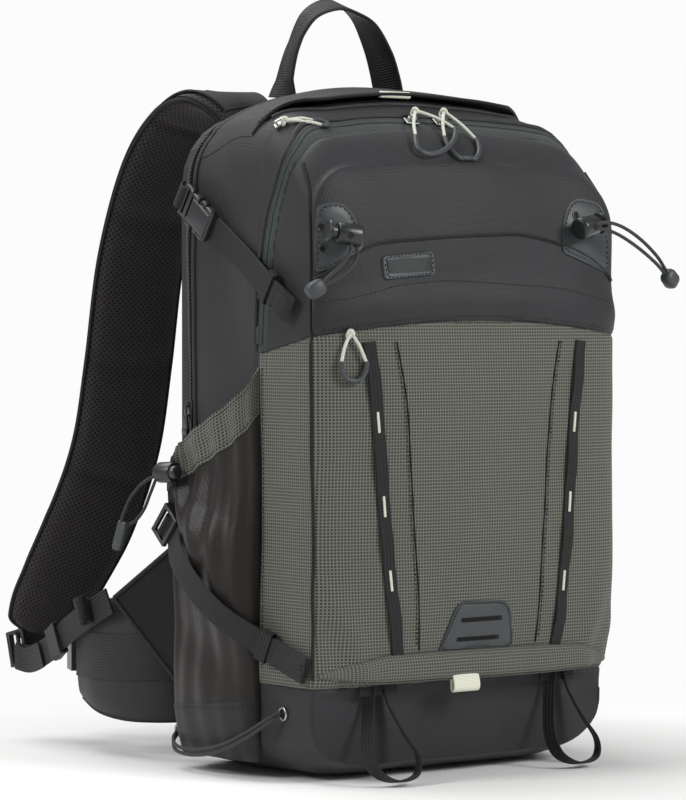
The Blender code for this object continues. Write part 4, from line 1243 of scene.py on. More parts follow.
for a, b in zip(grid[60], grid[60][1:]):
    run.append(run[-1] + (b - a).length)
for i in range(120):
    for k in range(len(grid[0]) - 1):
        ring = ((i, k), (i + 1, k), (i + 1, k + 1), (i, k + 1))
        face = bm.faces.new([verts[a][b] for a, b in ring])
        for loop, (a, b) in zip(face.loops, ring):
            loop[lip_uv].uv = (grid[a][b].x, 0.0936 - run[b])
bm.normal_update()
bm.faces.ensure_lookup_table()
if bm.faces[60 * (len(grid[0]) - 1) + 8].normal.y > 0:
    bmesh.ops.reverse_faces(bm, faces=bm.faces)
finish_mesh("pocket_lip_roll", bm, ripstop, node="pocket_lip", thick=0.0010)
lip_hem = []
for row in grid[6:-6]:
    p = row[13]
    lip_hem.append((p + Vector((0, -0.0004, -0.0001)), Vector((0, -0.8, -0.6))))
stitches("lip_stitching", [lip_hem], thread)

cream = ribbed("cream_grosgrain", "dcdcc8", 0.6, 0.2, place_on, 0.0010, "Y", "cfcfba", "e9e9da",
               0.0002, 0.6)


TAB_THICK = 0.0014


def folded_tab(name, root, steps, width):
    """A short ribbon folded over and sewn in: a bent band seen as a doubled tab.

    steps are how far forward and down it is from its root at each point.
    """
    points = [root + Vector((0, -forward, -down)) for forward, down in steps]
    sweep(name, smooth_path(points, 6), Vector((1, 0, 0)), flat_shape(width, TAB_THICK), cream)


tab_top = grid[53][14]
folded_tab("lip_tab", tab_top, ((0.0012, -0.003), (0.0030, 0.0020), (0.0032, 0.0070),
                                (0.0008, 0.0090), (-0.0004, 0.0060), (-0.0004, 0.0)), 0.0250)
spot, _ = on_top(-0.0170, flap_edge(0))
spot += UP * flap_lift(spot)
folded_tab("flap_tab", spot, ((0.0012, -0.0006), (0.0024, 0.0), (0.0028, 0.0016),
                             (0.0024, 0.0030), (0.0004, 0.0032)), 0.0290)

# ---------------------------------------------------------------- haul handle
# One length of ribbed 24 mm webbing, sewn into the top seam at both ends and half turned over
# between them, so that its left leg shows its edge and its right leg its face.
HANDLE_WIDTH = 0.0240
HANDLE_PATH = ((-1.00, 0.00), (-0.95, 0.22), (-0.80, 0.55), (-0.52, 0.87), (-0.15, 1.01),
               (0.15, 1.00), (0.52, 0.85), (0.80, 0.54), (0.95, 0.24), (1.02, 0.00))
HANDLE_FACE = ((0.0, 62), (0.10, 96), (0.25, 108), (0.45, 92), (0.60, 88), (0.80, 60), (1.0, 46))
handle_web = webbing("polyester_webbing_heavy", 0.0240, 0.0020, "0b0b0c", "363638")
path = smooth_path([(0.052 * u, 0.0505, 0.5050 + 0.0720 * v) for u, v in HANDLE_PATH], 12)
across = []
for k in range(len(path)):
    share = k / (len(path) - 1)
    face = math.radians(np.interp(share, [s for s, _ in HANDLE_FACE], [a for _, a in HANDLE_FACE]))
    over = math.exp(-((share - 0.5) / 0.22) ** 2)
    across.append(Vector((math.cos(face), -math.sin(face), -0.38 * over)))
sweep("haul_handle_webbing", path, across, flat_shape(HANDLE_WIDTH, 0.0026), handle_web, "handle",
      "haul_handle")

# ---------------------------------------------------------------- compression straps
# 20 mm webbing ribbed along its length. The upper pair clip to the rear edge with side-release
# buckles; the lower pair pass from a ladder lock to the corner of the front pocket.
UPPER_TOP = Vector((0, 0.040, 0.424))
UPPER_END = Vector((0, -0.082, 0.343))
UPPER_X = 0.1445
RUN = (UPPER_END - UPPER_TOP).normalized()
STRAP_WIDTH = 0.020
LOWER_STRAP = ((-0.1590, 0.044, 0.177), (-0.1695, 0.025, 0.160), (-0.1718, 0.002, 0.141),
               (-0.1675, -0.020, 0.123), (-0.1565, -0.038, 0.109), (-0.1470, -0.055, 0.099),
               (-0.1436, -0.074, 0.091), (-0.1432, -0.0985, 0.0835))
strap_web = webbing("polyester_webbing_ribbed", 0.0024, 0.0012, "101011", "353537")


def frame_at(centre, across, out):
    """A frame at a place, with local x along `across` and local z along `out`."""
    z_axis = Vector(out).normalized()
    x_axis = Vector(across)
    x_axis = (x_axis - z_axis * x_axis.dot(z_axis)).normalized()
    turn = Matrix((x_axis, z_axis.cross(x_axis), z_axis)).transposed().to_4x4()
    return Matrix.Translation(Vector(centre)) @ turn


def both(x, y, z, size):
    """Two like boxes of a moulding, one on either side of its middle."""
    return [((sign * x, y, z), size) for sign in (1, -1)]


def moulding(name, parts, frame, bevel, material, body="bag", node=None):
    """A moulded fitting from boxes, given by centre and size, whose edges are then rounded."""
    bpy.ops.object.select_all(action="DESELECT")
    made = []
    for centre, size in parts:
        bpy.ops.mesh.primitive_cube_add(size=1.0)
        block = bpy.context.object
        block.data.transform(Matrix.Translation(Vector(centre)) @ Matrix.Diagonal((*size, 1.0)))
        made.append(block)
    for block in made:
        block.select_set(True)
    bpy.context.view_layer.objects.active = made[0]
    if len(made) > 1:
        bpy.ops.object.join()
    piece = bpy.context.object
    piece.name = name
    soften = piece.modifiers.new("soft_edges", "BEVEL")
    soften.width = bevel
    soften.segments = 3
    bpy.ops.object.modifier_apply(modifier=soften.name)
    piece.data.transform(frame)
    piece.data.materials.append(material)
    piece.data.shade_smooth()
    piece.data.set_sharp_from_angle(angle=CREASE)
    piece.select_set(False)
    return settled(piece, body, node)


def keeper(name, centre, along, out, width, thick, band, material, body="bag"):
    """A flat loop of elastic or webbing round a strap, to hold its end."""
    side = along.cross(out).normalized()
    loop = []
    for u, v in ((-1, 1), (0, 1), (1, 1), (1.08, 0), (1, -1), (0, -1), (-1, -1), (-1.08, 0)):
        loop.append(centre + side * (u * width / 2) + out * (v * thick / 2))
    path = []
    for i in range(len(loop)):
        path += [loop[i].lerp(loop[(i + 1) % len(loop)], k / 3) for k in range(3)]
    return sweep(name, path, along, flat_shape(band, 0.0011), material, body, closed=True)


for label, side in SIDES:
    out = Vector((side, 0, 0))
    start = UPPER_TOP + RUN * 0.004 + out * UPPER_X
    end = UPPER_END + out * UPPER_X
    across = out.cross(RUN)
    path = []
    for k in range(41):
        t = k / 40
        sag = 0.0018 * math.sin(math.pi * t) + 0.0012 * math.sin(9 * t)
        path.append(start.lerp(end, t) + out * sag)
    sweep(f"upper_strap_web_{label}", path, across, flat_shape(STRAP_WIDTH, 0.0016), strap_web,
          node=f"upper_strap_{label}")
    fold = [end - RUN * (0.024 - 0.024 * k / 12) + out * (0.0022 + 0.0022 * math.sin(
        math.pi * k / 12)) for k in range(13)]
    fold += [end + RUN * 0.0012 + out * 0.0010]
    sweep(f"upper_strap_tail_{label}", fold, across, flat_shape(STRAP_WIDTH * 1.02, 0.0018),
          strap_web)
    keeper(f"upper_keeper_{label}", end - RUN * 0.030 + out * 0.0012, RUN, out, 0.0225, 0.0062,
           0.0085, daisy_web)
    box = [(end - RUN * d + across.normalized() * (s * 0.0082) + out * 0.0052, out)
           for d, s in ((0.002, -1), (0.018, -1), (0.018, 1), (0.002, 1), (0.002, -1))]
    stitches(f"upper_strap_stitching_{label}", [box], thread)

    # Side-release buckle: the socket with its two windows, and the latch bar behind it.
    buckle = frame_at(start + RUN * 0.006 + out * 0.0022, across, out)
    flip = 1 if (buckle.inverted().to_3x3() @ RUN).y > 0 else -1
    female = [((0, flip * 0.0130, 0.0036), (0.0190, 0.0250, 0.0072)),
              *both(0.0105, flip * 0.0215, 0.0034, (0.0050, 0.0085, 0.0066)),
              *both(0.0105, flip * 0.0035, 0.0034, (0.0050, 0.0075, 0.0066)),
              ((0, flip * 0.0250, 0.0030), (0.0255, 0.0035, 0.0056))]
    moulding(f"upper_buckle_socket_{label}", female, buckle, 0.0014, acetal, f"buckle_{label}",
             f"upper_buckle_{label}")
    male = [((0, flip * -0.0060, 0.0026), (0.0240, 0.0040, 0.0044)),
            ((0, flip * -0.0130, 0.0022), (0.0250, 0.0034, 0.0040)),
            *both(0.0112, flip * -0.0095, 0.0022, (0.0028, 0.0090, 0.0036)),
            *both(0.0098, flip * 0.0060, 0.0030, (0.0030, 0.0200, 0.0034)),
            *both(0.0108, flip * 0.0125, 0.0030, (0.0050, 0.0060, 0.0044))]
    moulding(f"upper_buckle_latch_{label}", male, buckle, 0.0009, acetal,
             node=f"upper_latch_{label}")
    loop = [start - RUN * 0.0070 + out * 0.0060, start - RUN * 0.0100 + out * 0.0078,
            start - RUN * 0.0150 + out * 0.0060, start - RUN * 0.0190 + out * 0.0005]
    sweep(f"upper_anchor_web_{label}", smooth_path(loop, 6), across, flat_shape(0.0190, 0.0018),
          daisy_web)

    path = mirrored(LOWER_STRAP, side, 10)
    lower_across = [out.cross(along) for along in headings(path)]
    sweep(f"lower_strap_web_{label}", path, lower_across, flat_shape(STRAP_WIDTH, 0.0016),
          strap_web, node=f"lower_strap_{label}")
    outward = [along.cross(a).normalized() for along, a in zip(headings(path), lower_across)]
    outward = [o if o.dot(out) > 0 else -o for o in outward]
    at = 50
    keeper(f"lower_keeper_{label}", path[at] + outward[at] * 0.0008, headings(path)[at],
           outward[at], 0.0225, 0.0062, 0.0100, daisy_web)
    second = [p + o * 0.0020 for p, o in zip(path[at - 4:], outward[at - 4:])]
    sweep(f"lower_strap_tail_{label}", second, lower_across[at - 4:],
          flat_shape(STRAP_WIDTH * 1.02, 0.0016), strap_web)
    sewn = [(path[-1] + o * 0.0032 + Vector((0, 0.0025, v)), out)
            for v, o in ((-0.0085, outward[-1]), (0.0085, outward[-1]))]
    stitches(f"lower_strap_stitching_{label}", [sewn], thread)

    along = (path[0] - path[1]).normalized()
    ladder = frame_at(path[0] + along * 0.0092 + out * 0.0044, out.cross(along), out)
    bars = [*both(0.0122, 0, 0.0020, (0.0034, 0.0200, 0.0042)),
            ((0, 0.0082, 0.0022), (0.0260, 0.0034, 0.0044)),
            ((0, 0, 0.0014), (0.0250, 0.0032, 0.0028)),
            ((0, -0.0082, 0.0020), (0.0260, 0.0034, 0.0040))]
    moulding(f"lower_ladder_lock_{label}", bars, ladder, 0.0011, acetal,
             node=f"lower_ladder_{label}")
    wrap = [path[1] + out * 0.0010, path[0] + along * 0.0060 + out * 0.0048,
            path[0] + along * 0.0095 + out * 0.0094, path[0] + along * 0.0140 + out * 0.0060,
            path[0] + along * 0.0165 + out * 0.0010, path[0] + along * 0.0200 - out * 0.0060]
    sweep(f"lower_anchor_web_{label}", smooth_path(wrap, 6), out.cross(along),
          flat_shape(0.0185, 0.0015), daisy_web)

# ---------------------------------------------------------------- tool loops
# 9 mm webbing loops under the lip that hold ski tails or axe shafts; each is twisted once, so
# that it hangs open towards the side.
LOOP_X = 0.087
LOOP = ((-0.0065, 0.0700, 0.0000), (-0.0105, 0.0520, 0.0030), (-0.0195, 0.0270, 0.0140),
        (-0.0205, 0.0125, 0.0240), (-0.0110, 0.0052, 0.0300), (0.0030, 0.0044, 0.0310),
        (0.0160, 0.0085, 0.0270), (0.0225, 0.0200, 0.0190), (0.0175, 0.0360, 0.0090),
        (0.0095, 0.0560, 0.0020), (0.0065, 0.0700, 0.0000))
for label, side in SIDES:
    top_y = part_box(f"tool_loop_{label}")[1].y - 0.0045
    points = [(side * LOOP_X + u, top_y - forward, z) for u, z, forward in LOOP]
    path = smooth_path(points, 10)
    across = []
    for k in range(len(path)):
        share = k / (len(path) - 1)
        lean = 0.75 * math.cos(math.pi * share)
        across.append(Vector((lean, -1.0, 0.15 if 0 < k < len(path) - 1 else 0)))
    sweep(f"tool_loop_web_{label}", path, across, flat_shape(0.0095, 0.0015), daisy_web,
          f"loop_{label}", f"tool_loop_{label}")
    band = [on_front(side * LOOP_X + u, 0.0695, 0.0022) for u in np.linspace(-0.017, 0.017, 16)]
    sweep(f"tool_loop_anchor_{label}", [p for p, _ in band], UP,
          flat_shape(0.0090, 0.0012), daisy_web)

# ---------------------------------------------------------------- zip sliders and pulls
# Die-cast nickel sliders. Each pull is one cream cord, knotted through the slider's bridge, with
# a rubber tube over its bight to grip.
PULL_CORD = 0.00125
PULL_TUBE = 0.00195
nickel = moulded("nickel_plate", "a9a8a3", 0.30, 900.0, 0.00008, 0.6, Metallic=1.0)
cord_cloth = ribbed("cream_braided_cord", "d9dacb", 0.62, 0.15, lambda m: slanted(m, 40), 0.0011,
                    "X", "b7b8a8", "e2e3d6", 0.0002, 0.7)


def clear_of_skin(p, lift):
    """Move a point out along the skin's normal until it is `lift` off the cloth."""
    near, normal, _, _ = SKIN.find_nearest(p)
    gap = (p - near).dot(normal)
    return p if gap > lift else near + normal * lift


def cord_pull(name, knot, left, right, bight, body, node=None, rise=0.0, slack=1.0):
    """A knotted cord with a rubber tube round its bight; left and right are the tube's ends."""
    knot, left, right, bight = (Vector(p) for p in (knot, left, right, bight))
    middle = (left + right) / 2
    bend = [middle + (left - middle) * (math.cos(t) * (1 + 0.14 * math.sin(t)))
            + (bight - middle) * math.sin(t) for t in np.linspace(0, math.pi, 37)]
    bend = [clear_of_skin(p, PULL_TUBE + 0.0006 + rise) for p in bend]
    for number, (end, follow) in enumerate(((bend[0], bend[1]), (bend[-1], bend[-2]))):
        towards = (end - follow).normalized()
        sag = knot.lerp(end, 0.5) + (end - middle) * 0.10 * slack
        leg = smooth_path([knot, sag, end - towards * 0.0012], 10)
        leg = [clear_of_skin(p, PULL_CORD + 0.0012 + rise) for p in leg]
        sweep(f"{name}_leg_{number}", leg, Vector((1, 0.2, 0.1)), round_shape(PULL_CORD, 12),
              cord_cloth, body)
    sweep(f"{name}_tube", bend, Vector((0, 0.3, 1)), round_shape(PULL_TUBE, 14), rubber, body,
          node)
    wrap = [knot + Vector((0.0019 * math.cos(t), 0.0016 * math.sin(t), 0.0012 * math.sin(2 * t)))
            for t in np.linspace(0, 2 * math.pi, 25)[:-1]]
    sweep(f"{name}_knot", wrap, UP, round_shape(0.0015, 12), cord_cloth, body,
          closed=True)
    under = knot + Vector((-0.0010, 0.0010, -0.0018))
    wrap = [under + Vector((0.0004 * math.sin(t), 0.0017 * math.cos(t), 0.0020 * math.sin(t)))
            for t in np.linspace(0, 2 * math.pi, 21)[:-1]]
    sweep(f"{name}_hitch", wrap, Vector((1, 0, 0)), round_shape(0.0013, 12), cord_cloth, body,
          closed=True)


def zip_slider(name, spot, normal, along, size, material, body, node=None):
    """A slider: a curved plate over the teeth, with a bridge for the pull."""
    frame = frame_at(spot, along, normal)
    length, width = size
    plate = [((0, 0, 0.0013), (length, width * 0.86, 0.0018)),
             ((length * 0.24, 0, 0.0013), (length * 0.42, width, 0.0018)),
             ((-length * 0.28, 0, 0.0030), (0.0016, width * 0.34, 0.0028)),
             ((length * 0.20, 0, 0.0030), (0.0016, width * 0.34, 0.0028)),
             ((-length * 0.04, 0, 0.0047), (length * 0.66, width * 0.34, 0.0013))]
    return moulding(name, plate, frame, 0.0006, material, body, node)


for label, x, lean in (("left", -0.0195, 1), ("right", 0.0085, -1)):
    spot, normal = on_top(x, -0.0650, 0.0006)
    zip_slider(f"front_zip_slider_{label}", spot, normal, Vector((lean, 0, 0)), (0.0120, 0.0085),
               nickel, f"slider_{label}", f"front_slider_{label}")
cord_pull("front_pull_left", (-0.0180, -0.0685, 0.4915), (-0.0341, -0.0857, 0.4676),
          (0.0112, -0.0765, 0.4750), (-0.0255, -0.0985, 0.4550), "pull_left", "front_pull_left",
          rise=0.0022)
cord_pull("front_pull_right", (0.0095, -0.0685, 0.4918), (-0.0044, -0.0845, 0.4692),
          (0.0263, -0.0840, 0.4690), (0.0050, -0.1005, 0.4520), "pull_right", "front_pull_right")
cord_pull("pocket_zip_pull", (-0.1165, -0.1165, 0.3270), (-0.1240, -0.1150, 0.3060),
          (-0.1050, -0.1200, 0.3060), (-0.1150, -0.1180, 0.2920), "pocket_pull", "pocket_pull")
spot, normal = on_top(-0.1255, -0.0470, 0.0010)
zip_slider("top_zip_slider", spot, normal, Vector((1, -0.3, 0)), (0.0115, 0.0070), nickel, "bag")
cord_pull("top_zip_pull", spot + normal * 0.0042 + Vector((0.0035, -0.0020, 0.0003)),
          (-0.1065, -0.0590, 0.4790), (-0.1050, -0.0665, 0.4765), (-0.0990, -0.0655, 0.4780),
          "bag", slack=0.3)

# Rear zip slider: black, with a short moulded tab hanging from it.
spot, normal = on_side(-1, 0.0505, 0.2680, 0.0012)
zip_slider("rear_zip_slider", spot, normal, UP, (0.0150, 0.0095), acetal,
                  "rear_slider", "rear_slider")
tab_frame = frame_at(spot + normal * 0.0046 + Vector((0, 0, -0.0120)), UP, normal)
moulding("rear_zip_tab", [((0.0015, 0, 0), (0.0140, 0.0065, 0.0018)),
                          ((-0.0040, 0, 0.0004), (0.0050, 0.0080, 0.0026))], tab_frame, 0.0008,
         acetal, "rear_slider")

# ---------------------------------------------------------------- bungee cord locks
# Spring cord locks: a glossy barrel with a collar, and a plunger pressed in from its outer end.
gloss = moulded("glossy_acetal", "1e2022", 0.36, 500.0, 0.00006, 0.4, Coat_Weight=0.15,
                Coat_Roughness=0.2)


def turned(name, start, axis, profile, material, body="bag", node=None, sides=28):
    """A turned or moulded round piece: profile is (distance along the axis, radius) pairs."""
    axis = Vector(axis).normalized()
    path = [Vector(start) + axis * along for along, _ in profile]
    radii = [radius for _, radius in profile]
    across = UP if abs(axis.z) < 0.8 else Vector((1, 0, 0))
    return sweep(name, path, across, round_shape(1.0, sides), material, body, node, wide=radii,
                 deep=radii)


BARREL = ((0, 0.0060), (0.0004, 0.0070), (0.0012, 0.0076), (0.0100, 0.0080), (0.0165, 0.0084),
          (0.0182, 0.0082), (0.0190, 0.0072), (0.0194, 0.0052))
PLUNGER = ((0, 0.0050), (0.0040, 0.0050), (0.0042, 0.0074), (0.0048, 0.0082), (0.0060, 0.0082),
           (0.0067, 0.0074), (0.0070, 0.0052))
HOLE = ((0, 0.0024), (0.0006, 0.0024))
LOCKS = (("left", Vector((-0.1262, -0.1225, 0.3975)), Vector((-0.955, 0.255, 0.15))),
         ("right", Vector((0.1030, -0.1268, 0.4060)), Vector((0.960, 0.130, 0.20))))
TOWARDS_FRONT = Vector((-0.25, -0.95, -0.15))
for label, middle, outward in LOCKS:
    outward.normalize()
    inner = middle - outward * 0.0120
    turned(f"lock_barrel_{label}", inner, outward, [(0.0194 - s, r) for s, r in reversed(BARREL)],
           gloss, "bag", f"bungee_lock_{label}")
    turned(f"lock_plunger_head_{label}", inner + outward * 0.0198, outward, PLUNGER, gloss,
           f"plunger_{label}", f"lock_plunger_{label}")
    face = TOWARDS_FRONT - outward * TOWARDS_FRONT.dot(outward)
    turned(f"lock_cord_hole_{label}", inner + outward * 0.0108 + face.normalized() * 0.0076, face,
           HOLE, dark_hole, sides=16)

# ---------------------------------------------------------------- pocket drawcords
# Each side pocket's cuff is drawn in by an elastic cord, held by a barrel lock at the rear; the
# cord's loop hangs out behind and ends in a folded rubber tab. Right one taken as a mirror.
DRAW_OUTER = ((-0.1690, 0.0545, 0.2190), (-0.1750, 0.0620, 0.2130), (-0.1800, 0.0690, 0.2030),
              (-0.1830, 0.0735, 0.1920), (-0.1845, 0.0755, 0.1840))
DRAW_INNER = ((-0.1690, 0.0525, 0.2165), (-0.1715, 0.0560, 0.2060), (-0.1738, 0.0610, 0.1940),
              (-0.1770, 0.0680, 0.1850), (-0.1812, 0.0735, 0.1815))
for label, side in SIDES:
    seat = Vector((side * 0.1645, 0.0560, 0.2215))
    turned(f"drawcord_lock_{label}", seat, Vector((-side * 0.10, -1.0, 0.04)),
           ((0, 0.0050), (0.0006, 0.0064), (0.0030, 0.0066), (0.0036, 0.0078), (0.0180, 0.0080),
            (0.0192, 0.0074), (0.0196, 0.0056)), gloss, "bag")
    turned(f"drawcord_button_{label}", seat + Vector((0, -0.0200, 0.0008)),
           Vector((-side * 0.10, -1.0, 0.04)),
           ((0, 0.0050), (0.0040, 0.0050), (0.0046, 0.0046), (0.0050, 0.0030)), acetal, "bag")
    tab_at = Vector((side * 0.1842, 0.0772, 0.1745))
    tab = moulding(f"drawcord_tab_{label}", [((0, 0.0, 0), (0.0095, 0.0215, 0.0042)),
                                             ((0, 0.0090, 0), (0.0070, 0.0060, 0.0050))],
                   frame_at(tab_at, Vector((0, 1.0, 0.25)), Vector((side, -0.1, 0.1))), 0.0014,
                   rubber)
    for part, route in (("outer", DRAW_OUTER), ("inner", DRAW_INNER)):
        path = mirrored(route, side, 8)
        strand = sweep(f"drawcord_{label}_{part}", path, Vector((side, 0.5, 0)),
                       round_shape(0.00125, 12), elastic)

# Nickel eyelets where the base bungees enter the cloth, front and rear.
for label, side in SIDES:
    for number, (x, y, z) in enumerate((BASE_BUNGEE[0], BASE_BUNGEE[-1])):
        place, normal = Vector((-side * x, y, z)), Vector((side, 0, 0))
        if y < 0.050:
            place, normal = on_side(side, y, z, 0.0010)
        sideways = normal.cross(UP).normalized()
        upward = sideways.cross(normal)
        ring = [place + (sideways * math.cos(t) + upward * math.sin(t)) * 0.0044
                for t in np.linspace(0, 2 * math.pi, 29)[:-1]]
        sweep(f"base_eyelet_{label}_{number}", ring, normal, round_shape(0.0010, 10), nickel,
              closed=True)

# ---------------------------------------------------------------- shoulder straps
# Curved foam pads faced with spacer mesh, bound at both edges. A nylon cap covers the top, and a
# ribbed webbing runs up the outside; 20 mm webbing joins the foot to the hip wing.
STRAP = ((-0.0560, 0.0770, 0.4640), (-0.0600, 0.0890, 0.4930), (-0.0660, 0.1120, 0.5030),
         (-0.0730, 0.1400, 0.4900), (-0.0800, 0.1680, 0.4520), (-0.0830, 0.1950, 0.3830),
         (-0.0830, 0.2130, 0.3000), (-0.0860, 0.2260, 0.2350), (-0.0960, 0.2430, 0.1800),
         (-0.1120, 0.2620, 0.1300), (-0.1205, 0.2715, 0.1060), (-0.1265, 0.2745, 0.0830))
STRAP_FOOT = ((-0.1215, 0.2700, 0.1040), (-0.1290, 0.2760, 0.0880), (-0.1375, 0.2815, 0.0770))
STRAP_LOWER = ((-0.1440, 0.2820, 0.0670), (-0.1440, 0.2600, 0.0660), (-0.1510, 0.2250, 0.0760),
               (-0.1590, 0.1800, 0.0970), (-0.1615, 0.1250, 0.1210))
PAD_WIDTH = 0.072
MESH_PITCH = 0.0031
spacer, shader = new_material("spacer_mesh", "2c2928", 0.72, Sheen_Weight=0.10,
                              Specular_IOR_Level=0.25)
dots = combined(spacer, *[waves(spacer, slanted(spacer, 45), MESH_PITCH, way) for way in "XY"],
                "MULTIPLY")
holes = add(spacer, "ShaderNodeMapRange", {"Value": dots, "From Min": 0.30,
                                           "From Max": 0.52}).outputs["Result"]
knit = speckle(spacer, 900.0, 2.0, place_on(spacer, "Object"))
feed(spacer, shader, Normal=raised(spacer, holes, -0.0008, 0.9),
     Base_Color=tinted(spacer, holes, tinted(spacer, knit, "1f1c1b", "484342"), "060606"))


def pillow_shape(width, thick, crown=0.55, count=14):
    """A padded band's section: crowned on both faces and thin at the sewn edges."""
    top = []
    for k in range(count + 1):
        u = -1 + 2 * k / count
        rise = (1 - abs(u) ** 3.2) ** 0.5 if abs(u) < 1 else 0.0
        top.append((u * width / 2, thick / 2 * (crown * 0.35 + (1 - crown * 0.35) * rise)))
    return top + [(u, -v) for u, v in reversed(top)]


def widths(count):
    """The strap's width along it: narrow at the yoke, full over the shoulder, tapered below."""
    out = []
    for i in range(count):
        k = i / (count - 1) * 20
        foot = max(0.0, (k / 20 - 0.965) / 0.035)
        out.append((1 - 0.26 * max(0, (k / 20 - 0.75) / 0.25) - 0.50 * max(0, 1 - k / 4))
                   * math.sqrt(1 - 0.80 * foot * foot))
    return out


STRAP_STEPS = (44, 62, 84, 106)      # points of the strap's path at its bar tacks
STRAP_DIPS = (44, 64, 84, 104)       # and where the pad is sewn down between them
for label, side in SIDES:
    path = mirrored(STRAP, side, 14)
    count = len(path)
    across = [Vector((1, side * 0.45 * i / (count - 1), 0)) for i in range(count)]
    wide = widths(count)
    deep = [1 - 0.30 * max(0.0, (i / count - 0.88) / 0.12) - sum(
        0.30 * math.exp(-((i - at) / 1.3) ** 2) for at in STRAP_DIPS) for i in range(count)]
    pad = sweep(f"strap_pad_{label}", path, across, pillow_shape(PAD_WIDTH, 0.0145), spacer,
                f"strap_{label}", f"shoulder_strap_{label}", wide=wide, deep=deep)
    steer = headings(path)
    flat = [(a - t * a.dot(t)).normalized() for a, t in zip(across, steer)]
    outs = [t.cross(a) for t, a in zip(steer, flat)]
    front = [o if o.y < 0 or o.z < -0.7 else -o for o in outs]
    for part, sign in (("inner", -1), ("outer", 1)):
        rim = [p + a * (sign * PAD_WIDTH / 2 * w * 0.995) for p, a, w in zip(path, flat, wide)]
        sweep(f"strap_binding_{label}_{part}", rim, across, flat_shape(0.0034, 0.0052),
              piping_cloth, f"strap_{label}")
    # The side away from the wearer has a nylon facing at the top and webbing down the middle.
    for part, first, last, width, lift, cloth in (
            ("cap", 4, 52, 0.060, 0.0008, nylon),
            ("web", 30, count - 2, 0.0200, 0.0022, daisy_web)):
        run = [path[i] - front[i] * (0.0074 + lift) for i in range(first, last)]
        sweep(f"strap_{part}_{label}", run, flat[first:last], flat_shape(width, 0.0018), cloth,
              f"strap_{label}", wide=[min(1.0, wide[i] * 1.05) for i in range(first, last)])
    for number, at in enumerate(STRAP_STEPS):
        spot = path[at] - front[at] * 0.0112
        sweep(f"strap_step_{label}_{number}",
              [spot - flat[at] * 0.0150, spot, spot + flat[at] * 0.0150], steer[at],
              flat_shape(0.0090, 0.0016), daisy_web, f"strap_{label}")

    # Foot of the strap: ladder lock, webbing down to the wing, its keeper and its rolled end.
    foot = mirrored(STRAP_FOOT, side, 6)
    sweep(f"strap_foot_web_{label}", foot, Vector((0.9, side * 0.45, 0)),
          flat_shape(0.0220, 0.0022), daisy_web, f"strap_{label}")
    lower = mirrored(STRAP_LOWER, side, 12)
    upright = Vector((side * 0.10, 0.18, 1.0))
    web = sweep(f"strap_lower_web_{label}", lower, upright, flat_shape(0.0205, 0.0018), strap_web,
                None, f"strap_webbing_{label}")
    tail = sweep(f"strap_lower_tail_{label}",
                 [p + Vector((side * 0.0026, 0, -0.0016)) for p in lower[1:22]], upright,
                 flat_shape(0.0205, 0.0018), strap_web, None)
    lock_frame = frame_at((side * 0.1420, 0.2835, 0.0720), Vector((side * 0.35, 1.0, -0.30)),
                          Vector((side * 1.0, -0.30, 0.10)))
    bars = [((0.0065, 0, 0), (0.0042, 0.0285, 0.0062)),
            ((-0.0075, 0, 0), (0.0036, 0.0285, 0.0050)),
            ((0, 0.0128, 0), (0.0180, 0.0034, 0.0056)),
            ((0, -0.0128, 0), (0.0180, 0.0034, 0.0056)),
            ((-0.0008, 0, -0.0008), (0.0030, 0.0270, 0.0036))]
    moulding(f"strap_ladder_lock_{label}", bars, lock_frame, 0.0013, gloss, f"strap_{label}",
             f"strap_ladder_{label}")
    at = 29
    along = headings(lower)[at]
    out = Vector((side, 0, 0))
    sleeve = keeper(f"strap_keeper_{label}", lower[at] + out * 0.0010, along, out, 0.0235, 0.0075,
                    0.0185, nylon, None)
    centre = lower[at + 13] + out * 0.0062 + Vector((0, 0, 0.0030))
    roll = []
    for k in range(58):
        t = k / 57
        spin = 2 * math.pi * 2.3 * t
        radius = 0.0016 + 0.0050 * t
        roll.append(centre + along * (radius * 0.85 * math.cos(spin)) + out * (
            radius * 0.80 * math.sin(spin)))
    rolled = sweep(f"strap_rolled_end_{label}", roll, upright, flat_shape(0.0200, 0.0013),
                   strap_web, None)
    # The lower webbing is sewn to the wing; here it and its pieces ride on no body, so they stay
    # where they are when the strap swings.
    for piece in (web, tail, sleeve, rolled):
        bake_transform(piece)

